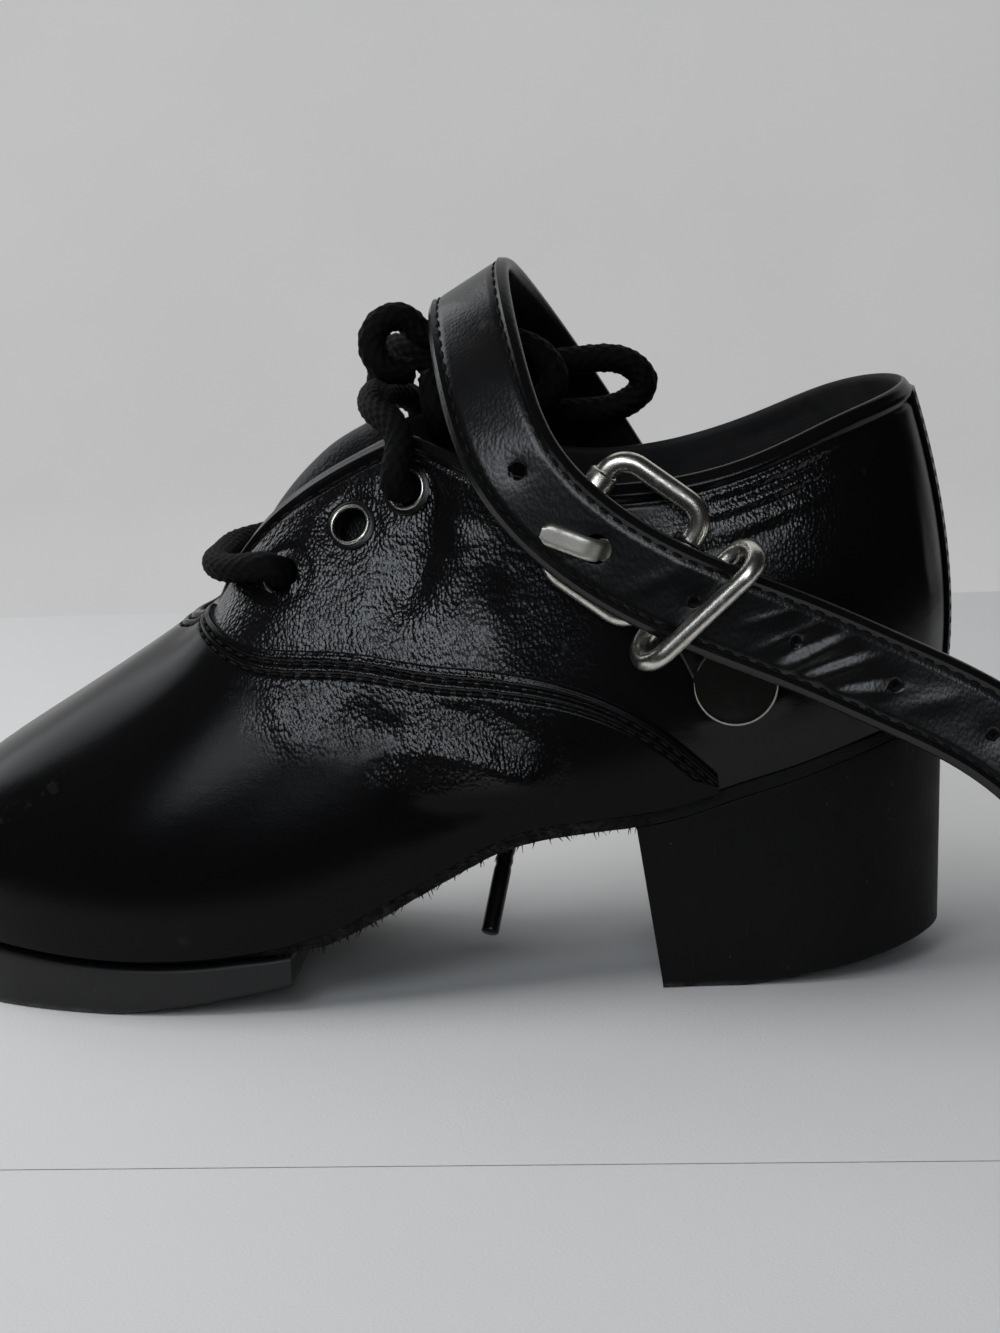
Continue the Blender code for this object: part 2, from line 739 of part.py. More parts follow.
def build_heel(last, shoe, material):
    """A block that narrows downwards, with its breast turned a little to the medial side."""
    breast = last.at_foot_x(HEEL_TOP_X[0])
    flat_end = last.at_foot_x(np.interp(HEEL_FLAT_END_X, HEEL_GROUND_X, HEEL_TOP_X))
    back = HEEL_END * last.back
    shares = np.unique(np.append(eased(0, 1, 22), (flat_end - breast) / (back - breast)))
    s = breast + shares * (back - breast)
    forward = last.at_foot_x(HEEL_TOP_X[0] - BREAST_SLANT)
    medial_s = forward + shares * (back - forward)

    def shrink(outline):
        x = np.interp(outline[:, 0], HEEL_TOP_X, HEEL_GROUND_X)
        return np.column_stack([x, outline[:, 1]])

    inset = sole_inset(last.columns(s)[:, 0])
    lateral = (shrink(last.outline(s, inset + HEEL_TAPER)), last.outline(s, inset))
    medial = (shrink(last.outline(-medial_s, inset + HEEL_TAPER)), last.outline(-medial_s, inset))
    rings = plan_rings(lateral, medial, heel_ground, lambda x: under_sole(last, x))
    heel = add("heel", loft_mesh("heel", rings), shoe, material)
    soften(heel)
    return heel


def build_back_strip(last, shoe, material):
    s = last.back + np.linspace(-1, 1, 5) * STRIP_HALF_WIDTH
    heights = np.linspace(0.02, 0.985, 14)
    inner = np.stack([last.shifted(s, h, VAMP_STEP * 0.1 + GAP) for h in heights])
    outer = np.stack([last.shifted(s, h, VAMP_STEP * 0.1 + GAP + STRIP_THICK) for h in heights])
    rings = np.concatenate([outer, inner[:, ::-1]], axis=1)
    return add("back_strip", loft_mesh("back_strip", rings), shoe, material)


def build_tongue(shoe, material):
    rows = np.array(TONGUE_ROWS) * MM
    along = cubic(lengths(rows[:, :2]), rows)
    rows = along(np.linspace(0, lengths(rows[:, :2])[-1], 15))
    share = np.linspace(-1, 1, 9)
    grid = np.stack(
        [
            np.repeat(rows[:, :1], len(share), axis=1),
            TONGUE_CENTRE_Y + rows[:, 2:3] * share,
            rows[:, 1:2] - rows[:, 3:4] * share**2,
        ],
        axis=2,
    )
    return add("tongue", loft_mesh("tongue", sheet_rings(grid, TONGUE_THICK)), shoe, material)


class StrapLine:
    """The strap's centre line with its outward and cross directions, by length along it."""

    def __init__(self):
        rows = np.array(STRAP_ROWS)
        self.marks = lengths(rows[:, :3]) * MM
        self.curve = cubic(self.marks, rows)
        self.length = self.marks[-1]

    def frame(self, along):
        along = np.atleast_1d(along)
        rows = self.curve(along)
        step = self.length * 1e-4
        tangent = unit(self.curve(along + step)[:, :3] - self.curve(along - step)[:, :3])
        face = rows[:, 3:6]
        face = unit(face - tangent * (face * tangent).sum(1, keepdims=True))
        return rows[:, :3] * MM, face, np.cross(face, tangent), rows[:, 6]


def build_strap(line, shoe, cutters, material):
    """A flat strap with eased edges, swept along its line and punched."""
    fine = np.linspace(0, line.length, STRAP_SECTIONS)
    centre, face, cross, width = line.frame(fine)
    half = STRAP_WIDTH / 2
    ease = STRAP_THICK * 0.3
    thick = STRAP_THICK / 2
    section = (
        (-half, -thick + ease),
        (-half + ease, -thick),
        (half - ease, -thick),
        (half, -thick + ease),
        (half, thick - ease),
        (half - ease, thick),
        (-half + ease, thick),
        (-half, thick - ease),
    )
    rings = np.stack([centre + cross * (width[:, None] * c) + face * n for c, n in section], axis=1)
    strap = add("strap", loft_mesh("strap", rings), shoe, material)
    for number in range(-HOLES_BEFORE, HOLES_AFTER + 1):
        centre, face, cross, _ = line.frame(line.marks[PRONG_ROW] + number * HOLE_PITCH)
        radius = STRAP_HOLE if number else PRONG_HOLE
        name = f"strap_hole_{number + HOLES_BEFORE}"
        drill = cylinder_mesh(name, radius, DRILL_LENGTH, 12)
        hole = cutter(name, drill, aim(centre[0], face[0], cross[0]), cutters)
        combine(strap, hole, "DIFFERENCE")
    return strap


def buckle_frame_matrix():
    """X along the strap towards the hinge bar, Y across it and up, Z outwards."""
    along = Vector((math.cos(BUCKLE_PITCH), 0, -math.sin(BUCKLE_PITCH)))
    across = Vector((math.sin(BUCKLE_PITCH), 0, math.cos(BUCKLE_PITCH)))
    out = Vector((0, -1, 0))
    return Matrix.Translation(Vector(BUCKLE_CENTRE)) @ Matrix((along, across, out)).transposed().to_4x4()


def build_buckle(shoe, material):
    """Frame, roller and prong, on an empty at the frame's centre."""
    seat = add("buckle", None, shoe)
    seat.matrix_world = buckle_frame_matrix()
    outline = [(x, y, 0) for x, y in rounded_rectangle(BUCKLE_ALONG, BUCKLE_ACROSS, BUCKLE_CORNER)]
    frame = tube("buckle_frame", outline, BUCKLE_WIRE, shoe, material, closed=True)
    bore = BUCKLE_WIRE + GAP
    roller = turned(
        "buckle_roller",
        (
            (bore, ROLLER_LENGTH / 2),
            (ROLLER_RADIUS, ROLLER_LENGTH / 2),
            (ROLLER_RADIUS, -ROLLER_LENGTH / 2),
            (bore, -ROLLER_LENGTH / 2),
        ),
        shoe,
        material,
    )
    roller.matrix_local = Matrix.Translation((-BUCKLE_ALONG / 2, 0, 0)) @ Matrix.Rotation(math.pi / 2, 4, "X")
    prong = build_prong(shoe, material)
    for piece in (frame, roller, prong):
        piece.parent = seat
    return frame


def build_prong(shoe, material):
    """A stamped strip that wraps the hinge bar, comes up through the strap and lies on it."""
    reach = BUCKLE_WIRE + 1.5 * GAP + PRONG_THICK / 2
    wrap = [math.radians(a) for a in range(260, 79, -20)]
    path = [(reach * math.cos(a), reach * math.sin(a)) for a in wrap]
    path += [(along * MM, reach) for along in (4.0, 8.0)]
    path += [(along * MM, rise * MM) for along, rise in PRONG_STEP]
    path += [(along * MM, PRONG_ON_STRAP) for along in (12.3, 15.0, 18.0, 19.6)]
    path = np.array(path)
    ahead = unit(np.gradient(path, axis=0))
    rise = np.column_stack([-ahead[:, 1], ahead[:, 0]])
    half = np.full(len(path), PRONG_WIDTH / 2)
    half[: len(wrap)] *= 0.6
    half[-1] *= 0.6
    thick = PRONG_THICK / 2
    low = path - rise * thick
    high = path + rise * thick
    rings = np.stack(
        [
            np.column_stack([low[:, 0], -half, low[:, 1]]),
            np.column_stack([low[:, 0], half, low[:, 1]]),
            np.column_stack([high[:, 0], half, high[:, 1]]),
            np.column_stack([high[:, 0], -half, high[:, 1]]),
        ],
        axis=1,
    )
    prong = add("buckle_prong", loft_mesh("buckle_prong", rings), shoe, material)
    turn = Matrix.Rotation(math.pi + PRONG_TURN, 4, "Z")
    prong.matrix_local = Matrix.Translation((BUCKLE_ALONG / 2, 0, 0)) @ turn
    return prong


def build_keeper(shoe, material):
    """A closed wire loop round the strap."""
    outline = rounded_rectangle(KEEPER_LENGTH, KEEPER_DEPTH, KEEPER_WIRE * 1.8)
    keeper = tube("keeper", [(x, 0, y) for x, y in outline], KEEPER_WIRE, shoe, material, closed=True)
    along = Vector((math.cos(KEEPER_PITCH), 0, math.sin(KEEPER_PITCH)))
    out = Vector((0, -1, 0))
    axes = Matrix((along, out.cross(along), out)).transposed().to_4x4()
    keeper.matrix_world = Matrix.Translation(Vector(KEEPER_CENTRE)) @ axes
    return keeper


def build_tab(shoe, cutters, material):
    """A leather strip from the hinge bar to its rivet, folded round the bar on both sides of the prong."""
    seat = buckle_frame_matrix()
    half = TAB_WIDTH / 2
    lead = BUCKLE_ALONG / 2 + BUCKLE_WIRE + 2 * GAP
    ends = [seat @ Vector((lead, side * half, 0)) for side in (1, -1)]
    outline = [(end.x, end.z) for end in ends]
    outline += [
        (RIVET_LAT[0] + half * math.cos(math.radians(a)), RIVET_LAT[1] + half * math.sin(math.radians(a)))
        for a in range(210, 391, 15)
    ]
    thick = TAB_THICK / 2
    rings = [[(x, TAB_Y + side * thick, z) for x, z in outline] for side in (-1, 1)]
    tab = add("buckle_tab", plate_mesh("buckle_tab", rings), shoe, material)
    bore = BUCKLE_WIRE + GAP
    fold = turned(
        "tab_fold",
        (
            (bore, half),
            (bore + TAB_FOLD, half),
            (bore + TAB_FOLD, -half),
            (bore, -half),
        ),
        cutters,
        material,
    )
    bar = seat @ Matrix.Translation((BUCKLE_ALONG / 2, 0, 0))
    fold.matrix_world = bar @ Matrix.Rotation(math.pi / 2, 4, "X")
    fold.hide_render = True
    fold.display_type = "WIRE"
    combine(tab, fold, "UNION")
    slot = box_mesh("tab_slot", (PRONG_SLOT * 2, PRONG_SLOT, PRONG_SLOT * 2))
    combine(tab, cutter("tab_slot", slot, bar, cutters), "DIFFERENCE")
    return tab


def build_rivet(name, place, way, radius, shoe, material):
    """A flat cap with an eased edge."""
    profile = (
        (0, RIVET_THICK),
        (radius - RIVET_THICK, RIVET_THICK),
        (radius, RIVET_THICK * 0.35),
        (radius, 0),
        (0, 0),
    )
    rivet = turned(name, profile, shoe, material, sides=24)
    rivet.matrix_world = aim(place, way)
    return rivet


def build_laces(last, shoe, material, aglet_material):
    mouths = {name: (place, way) for name, place, way in eyelet_places(last)}
    lift = (1.9 * MM, 4.6 * MM)

    def bar(name, number, route):
        near, far = mouths[f"lat_{number}"], mouths[f"med_{number}"]
        points = [near[0] + near[1] * up for up in lift]
        points += [np.array(p) * MM for p in route]
        points += [far[0] + far[1] * up for up in reversed(lift)]
        tube(name, smooth_route(points, 1.4 * LACE_RADIUS), LACE_RADIUS, shoe, material)

    bar("lace_bar_low", 1, LACE_BAR_LOW)
    bar("lace_bar_top", 3, LACE_BAR_TOP)
    for name, route in (
        ("lace_loop_heel", LACE_LOOP_HEEL),
        ("lace_loop_up", LACE_LOOP_UP),
        ("lace_end_long", LACE_END_LONG),
        ("lace_end_short", LACE_END_SHORT),
    ):
        tube(name, smooth_route(np.array(route) * MM, 2 * LACE_RADIUS), LACE_RADIUS, shoe, material)
    for name, ends in (("aglet_long", AGLET_LONG), ("aglet_short", AGLET_SHORT)):
        tube(name, np.array(ends) * MM, AGLET_RADIUS, shoe, aglet_material)
    turns = np.linspace(-0.5, 0.5, 16)
    knot = [
        Vector(KNOT_CENTRE)
        + Vector(
            (
                KNOT_LENGTH * u,
                KNOT_RADIUS * math.cos(2 * math.pi * KNOT_TURNS * u),
                KNOT_RADIUS * math.sin(2 * math.pi * KNOT_TURNS * u),
            )
        )
        for u in turns
    ]
    tube("lace_knot", knot, LACE_RADIUS, shoe, material)


def main():
    for thing in list(bpy.data.objects):
        bpy.data.objects.remove(thing, do_unlink=True)
    shoe = bpy.data.collections.new("irish_dance_shoe")
    cutters = bpy.data.collections.new("cutters")
    for collection in (shoe, cutters):
        bpy.context.scene.collection.children.link(collection)

    upper_leather = finish("upper_leather", (0.012, 0.012, 0.013), 0.32)
    sole_leather = finish("sole_leather", (0.03, 0.027, 0.024), 0.85)
    strap_leather = finish("strap_leather", (0.014, 0.014, 0.015), 0.38)
    lining = finish("lining_leather", (0.03, 0.028, 0.026), 0.7)
    heel_resin = finish("heel_resin", (0.012, 0.012, 0.013), 0.42)
    cord = finish("lace_cord", (0.01, 0.01, 0.011), 0.8)
    plastic = finish("aglet_plastic", (0.01, 0.01, 0.01), 0.3)
    nickel = finish("nickelled_steel", (0.72, 0.7, 0.66), 0.25, 1.0)

    last = Last()
    build_outsole(last, shoe, sole_leather)
    build_toe_tip(last, shoe, heel_resin)
    build_heel(last, shoe, heel_resin)
    build_upper(last, shoe, cutters, upper_leather)
    build_back_strip(last, shoe, upper_leather)
    build_tongue(shoe, upper_leather)
    build_insole(last, shoe, lining)
    build_eyelets(last, shoe, nickel)
    line = StrapLine()
    build_strap(line, shoe, cutters, strap_leather)
    build_buckle(shoe, nickel)
    build_keeper(shoe, nickel)
    build_tab(shoe, cutters, strap_leather)
    tab_face = (RIVET_LAT[0], TAB_Y - TAB_THICK / 2 - GAP, RIVET_LAT[1])
    build_rivet("rivet_lat", tab_face, (0, -1, 0), RIVET_RADIUS, shoe, nickel)
    centre, face, _, _ = line.frame(line.marks[1])
    strap_face = centre[0] + face[0] * (STRAP_THICK / 2 + GAP)
    build_rivet("rivet_med", strap_face, face[0], RIVET_MED_RADIUS, shoe, nickel)
    build_laces(last, shoe, cord, plastic)


main()
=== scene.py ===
"""Looks of a child's left heavy shoe for Irish dancing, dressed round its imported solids, in metres.

+X runs from the toe to the heel, +Y from the outer (lateral) to the inner (medial) side and +Z is up.
"""

import logging
import math
from collections.abc import Callable, Iterable, Sequence
from dataclasses import dataclass, field
from enum import Enum
from typing import Any, NamedTuple

import bmesh
import bpy
import numpy as np
from mathutils import Matrix, Vector, noise

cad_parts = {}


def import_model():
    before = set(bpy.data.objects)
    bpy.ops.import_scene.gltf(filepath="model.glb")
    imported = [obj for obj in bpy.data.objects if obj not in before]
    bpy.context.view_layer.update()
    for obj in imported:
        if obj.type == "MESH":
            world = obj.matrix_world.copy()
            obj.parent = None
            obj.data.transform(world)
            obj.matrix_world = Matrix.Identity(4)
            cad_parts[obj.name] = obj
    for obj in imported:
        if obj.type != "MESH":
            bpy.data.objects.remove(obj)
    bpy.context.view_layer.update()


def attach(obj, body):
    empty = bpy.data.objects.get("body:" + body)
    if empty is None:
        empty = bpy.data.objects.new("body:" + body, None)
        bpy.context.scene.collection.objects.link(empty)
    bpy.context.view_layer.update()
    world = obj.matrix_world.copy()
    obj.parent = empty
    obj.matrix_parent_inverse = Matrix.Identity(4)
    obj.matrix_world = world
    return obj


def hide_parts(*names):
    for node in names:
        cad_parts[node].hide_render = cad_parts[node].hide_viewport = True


LOG = logging.getLogger("shoe")
Array = np.ndarray
Height = Callable[[Array], Array]
Pair = tuple[float, float]
Triple = tuple[float, float, float]
Mesh = bmesh.types.BMesh
Material = bpy.types.Material
Piece = bpy.types.Object
MM = 0.001
GAP = 0.3 * MM
ROOT = "root"
NUDGE = 1e-4

LENGTH = 165 * MM
BALL_WIDTH = 64 * MM
INSTEP_HEIGHT = 85 * MM
HEEL_HEIGHT = 41 * MM
BACK_X = 35.3 * MM
RIM_LEAN = 20 * MM


class Station(NamedTuple):
    """A section of the last, in percent: x of LENGTH from the back, y of BALL_WIDTH, z of INSTEP_HEIGHT."""

    foot_x: float
    foot_lat: float
    foot_med: float
    rim_x: float
    rim_lat: float
    rim_med: float
    rim_z: float
    med_up: float
    swell: float
    rise: float
    spread: float
    drop: float
    seam: float


STATIONS = (
    Station(99.3, 3, 3, 69.7, 3, 3, 68.7, 0, 4.7, 24.5, 53.5, 28.5, 1.0),
    Station(96.5, -22, 26.5, 69.5, -0.5, 6, 68.9, 0, 5, 23.5, 50, 25.5, 1.0),
    Station(89.3, -38, 41.5, 69, -4, 9.5, 69.3, 0, 5.5, 22.5, 42, 21, 1.0),
    Station(79, -47.5, 48.5, 68.4, -7, 12, 71.2, 0.3, 6.5, 22.5, 33, 15.5, 0.95),
    Station(66.8, -49.5, 45.5, 66, -10, 14, 80, 0.5, 7, 24, 27, 16.9, 0.74),
    Station(53, -44.5, 35, 59, -13.5, 16.5, 92, 0.5, 7, 26, 23, 21.5, 0.58),
    Station(43.2, -40, 29.5, 52.8, -16, 19, 98.3, 0.5, 7, 26, 20, 19.8, 0.42),
    Station(38.4, -38, 28.5, 49.9, -20, 22.5, 99.8, 0.5, 7.5, 24, 16, 20, 0.385),
    Station(33.5, -37, 28.5, 43.8, -29, 30, 95.5, 0.7, 8, 22, 8, 22, 0.39),
    Station(25.6, -35.5, 31, 32.3, -34, 33, 91, 0.8, 8, 17, 7, 23, 0.26),
    Station(16.5, -34.5, 33.5, 19, -33, 32, 94.5, 2.2, 7.5, 16, 7, 21, -0.2),
    Station(8.7, -28.5, 28, 10.8, -26, 26, 100.5, 2.4, 6.5, 16, 7, 20, -0.2),
    Station(3.2, -15.5, 15.5, 5.3, -14.5, 14.5, 104, 1.6, 5.5, 16, 7.5, 19.5, -0.2),
    Station(0.9, 0, 0, 3.3, 0, 0, 105.6, 0, 5, 16.5, 7.6, 19.5, -0.2),
)

# Height of the sole's upper face: x in percent of LENGTH from the back, z in percent of HEEL_HEIGHT
SOLE_PROFILE = (
    (102, 32), (90, 26), (80, 22.5), (70, 22.7), (61.5, 27), (56, 34), (51, 44), (46, 54.5), (42, 62),
    (37, 66.5), (30.5, 69.2), (25.3, 72.5), (21, 78), (14.4, 85.6), (8, 93.5), (-1, 101),
)

# The outsole's edge: x in percent, inset from the feather edge and thickness in millimetres
SOLE_EDGE = (
    (100, 2.4, 1.2), (66, 2.2, 1.2), (58, 0.4, 2.2), (30, 0.3, 2.3), (20, 0.6, 2.3), (0, -0.5, 1.8),
)

# Tongue, bottom to top: x and z of its crown, half width, and how far its edges fall, in millimetres
TONGUE_ROWS = (
    (-89.0, 46.6, 8.0, 2.6), (-84.0, 49.6, 9.0, 3.6), (-78.4, 53.6, 10.0, 6.0), (-74.4, 61.0, 10.4, 12.0),
    (-70.8, 69.2, 11.0, 17.6), (-62.0, 80.2, 12.2, 22.0), (-53.0, 86.0, 12.6, 19.4),
    (-49.2, 88.4, 11.2, 15.5),
)

# Eyelets up the facing: place among the stations, share of the wall's height
EYELETS = ((4.55, 0.83), (5.38, 0.85), (6.5, 0.865))

# The strap from its inner end to its tail: centre line in millimetres and the way its outer face looks
STRAP_ROWS = (
    (-2.0, 26.9, 43.0, 0.0, 1.0, 0.05), (-3.6, 27.1, 46.5, 0.0, 1.0, 0.05),
    (-10.5, 27.4, 61.0, 0.0, 1.0, 0.1), (-18.3, 26.6, 75.0, -0.15, 0.95, 0.3),
    (-28.0, 20.5, 92.0, -0.35, 0.7, 0.62), (-34.5, 9.5, 103.3, -0.48, 0.33, 0.81),
    (-36.9, -3.0, 107.1, -0.51, -0.05, 0.86), (-36.0, -14.5, 102.5, -0.45, -0.45, 0.77),
    (-33.6, -23.5, 93.8, -0.3, -0.8, 0.5), (-28.8, -30.4, 82.4, -0.15, -0.97, 0.2),
    (-17.3, -32.8, 70.4, 0.0, -1.0, 0.03), (-3.2, -33.1, 62.3, 0.0, -1.0, 0.03),
    (11.5, -32.0, 55.8, 0.02, -1.0, 0.05), (25.5, -30.8, 48.9, 0.0, -1.0, 0.1),
    (38.4, -31.2, 42.0, 0.05, -1.0, 0.12), (49.2, -32.0, 32.4, 0.1, -1.0, 0.15),
    (54.0, -32.6, 25.0, 0.15, -1.0, 0.15), (56.2, -33.0, 20.6, 0.15, -1.0, 0.15),
)
PRONG_ROW = 10

# Folds of the strap's face in millimetres: both ends, along from the prong's hole and across; width, height
STRAP_FOLDS = (
    (27.0, -3.6, 34.5, 4.2, 0.7, 0.22), (29.6, -4.2, 36.8, 3.6, 0.6, -0.18),
    (31.8, -4.6, 39.2, 3.9, 0.8, 0.27), (34.0, -4.4, 41.4, 2.6, 0.6, -0.20),
    (36.0, -4.5, 44.2, 2.8, 0.8, 0.24), (39.4, -4.2, 46.4, 0.6, 0.7, -0.18),
    (42.0, -4.4, 50.4, 0.4, 1.0, 0.20), (24.0, -0.6, 30.0, 4.2, 0.7, 0.18),
    (50.0, -3.0, 58.0, 2.6, 1.6, 0.20), (-52.0, -5.0, -40.0, 5.0, 2.2, 0.16),
    (-46.0, -5.4, -34.0, 4.6, 1.8, -0.16), (-39.0, -5.2, -27.0, 4.4, 2.0, 0.14),
    (-30.0, -5.0, -20.0, 4.0, 1.6, -0.12), (6.0, -4.0, 13.0, 4.6, 1.2, 0.12),
)

# Routes of the lace in millimetres
LACE_BAR_LOW = (
    (-73.6, -15.0, 66.2), (-78.0, -7.8, 66.0), (-78.6, 1.0, 65.8), (-78.0, 10.4, 66.2), (-73.6, 17.6, 66.6),
)
LACE_BAR_TOP = (
    (-47.4, -16.8, 84.4), (-51.3, -10.0, 88.9), (-53.0, 0.5, 90.6), (-51.3, 11.5, 89.8),
    (-47.6, 18.6, 85.6),
)
LACE_LOOP_HEEL = (
    (-37.2, 3.4, 92.4), (-27.5, 6.2, 93.8), (-19.0, 9.0, 94.4), (-13.2, 10.4, 93.2), (-11.2, 11.0, 90.2),
    (-13.8, 11.4, 87.2), (-20.0, 11.4, 85.8), (-27.5, 9.6, 86.0), (-37.8, 6.2, 87.0),
)
LACE_LOOP_UP = (
    (-46.6, -2.4, 94.4), (-51.0, -4.2, 95.6), (-52.4, -4.0, 99.0), (-50.8, -3.2, 102.2),
    (-47.6, -2.0, 102.6), (-45.2, -1.0, 100.2), (-41.8, -0.4, 99.1), (-38.0, -0.2, 98.9),
    (-31.5, -0.6, 98.4), (-26.2, -1.2, 95.8), (-24.6, -2.2, 91.8), (-28.0, -3.2, 88.6), (-35.0, -3.4, 88.0),
)
LACE_END_LONG = (
    (-41.0, 7.85, 89.2), (-42.0, 15.5, 90.4), (-41.0, 23.0, 85.5), (-39.4, 25.6, 75.0), (-38.0, 26.8, 62.0),
    (-36.8, 28.0, 48.0), (-35.8, 27.6, 36.0), (-35.3, 25.6, 27.0), (-35.6, 20.6, 19.6), (-36.0, 14.1, 14.9),
)
AGLET_LONG = ((-36.1, 13.4, 14.2), (-38.9, 4.8, 1.6))
LACE_END_SHORT = (
    (-42.4, 4.0, 93.4), (-48.6, 7.8, 97.0), (-53.4, 16.0, 94.5), (-54.6, 20.6, 87.0), (-55.4, 24.0, 77.0),
    (-55.8, 27.0, 66.0), (-55.6, 29.6, 57.0),
)
AGLET_SHORT = ((-55.58, 29.8, 56.4), (-55.2, 32.2, 42.0))


def cubic(knots: Array, rows: Array, period: float | None = None) -> Callable[[Any], Array]:
    """The smooth curve through rows.

    Args:
        knots: Where each row stands.
        rows: Values, one row for each knot.
        period: Length after which the curve closes on itself.

    Returns:
        A function from places to rows.
    """
    knots, rows = np.asarray(knots, float), np.asarray(rows, float)
    if period:
        knots = np.append(knots, knots[0] + period)
        rows = np.vstack([rows, rows[:1]])
    steps = np.diff(knots)
    slopes = np.diff(rows, axis=0) / steps[:, None]
    matrix = np.zeros((len(knots), len(knots)))
    right = np.zeros_like(rows)
    for i in range(1, len(knots) - 1):
        matrix[i, i - 1 : i + 2] = steps[i - 1], 2 * (steps[i - 1] + steps[i]), steps[i]
        right[i] = 6 * (slopes[i] - slopes[i - 1])
    matrix[0, 0] = 1
    if period:
        matrix[0, -1] = -1
        matrix[-1, 0], matrix[-1, 1] = 2 * (steps[-1] + steps[0]), steps[0]
        matrix[-1, -2] = steps[-1]
        right[-1] = 6 * (slopes[0] - slopes[-1])
    else:
        matrix[-1, -1] = 1
    bend = np.linalg.solve(matrix, right)

    def at(where: Any) -> Array:
        """The curve at some places.

        Args:
            where: The places, one or many.

        Returns:
            One row a place.
        """
        where = np.atleast_1d(np.asarray(where, float))
        if period:
            where = knots[0] + (where - knots[0]) % period
        i = np.clip(np.searchsorted(knots, where, side="right") - 1, 0, len(steps) - 1)
        w = ((where - knots[i]) / steps[i])[:, None]
        curve = ((1 - w) ** 3 - (1 - w)) * bend[i] + (w**3 - w) * bend[i + 1]
        return (1 - w) * rows[i] + w * rows[i + 1] + steps[i][:, None] ** 2 / 6 * curve

    return at


def lengths(points: Array) -> Array:
    """How far along a chain of points each one lies."""
    return np.concatenate([[0], np.cumsum(np.linalg.norm(np.diff(points, axis=0), axis=1))])


def unit(vectors: Array) -> Array:
    """Vectors of length one."""
    return vectors / np.maximum(np.linalg.norm(vectors, axis=-1, keepdims=True), 1e-12)


def hump(distance: Array, width: float) -> Array:
    """A soft bump, one at no distance."""
    return np.exp(-((distance / width) ** 2))


def ease(value: Array, low: float, high: float) -> Array:
    """A smooth step from nought at low to one at high."""
    share = np.clip((np.asarray(value, float) - low) / (high - low), 0, 1)
    return share * share * (3 - 2 * share)


def from_back(percent: Any) -> Array:
    """x of a place in percent of the shoe's length from its back."""
    return BACK_X - np.asarray(percent, float) * LENGTH / 100


def roughen(points: Array, size: float) -> Array:
    """Even noise of about -1 to 1 for points.

    Args:
        points: Points, in the last axis.
        size: Width of a lump.

    Returns:
        One value a point.
    """
    flat = points.reshape(-1, 3) / size
    return np.array([noise.noise(Vector(p)) for p in flat]).reshape(points.shape[:-1])


def smooth_route(points: Array, step: float) -> Array:
    """Points a step apart on the smooth curve through a route's own points.

    Args:
        points: The route.
        step: Wanted spacing.

    Returns:
        The points along it.
    """
    points = np.asarray(points, float)
    along = lengths(points)
    fine = cubic(along, points)(np.linspace(0, along[-1], 900))
    run = lengths(fine)
    wanted = np.linspace(0, run[-1], max(3, round(run[-1] / step) + 1))
    return np.stack([np.interp(wanted, run, fine[:, k]) for k in range(3)], axis=1)


class Side(Enum):
    """The two sides of the shoe."""

    LATERAL = "lat"
    MEDIAL = "med"


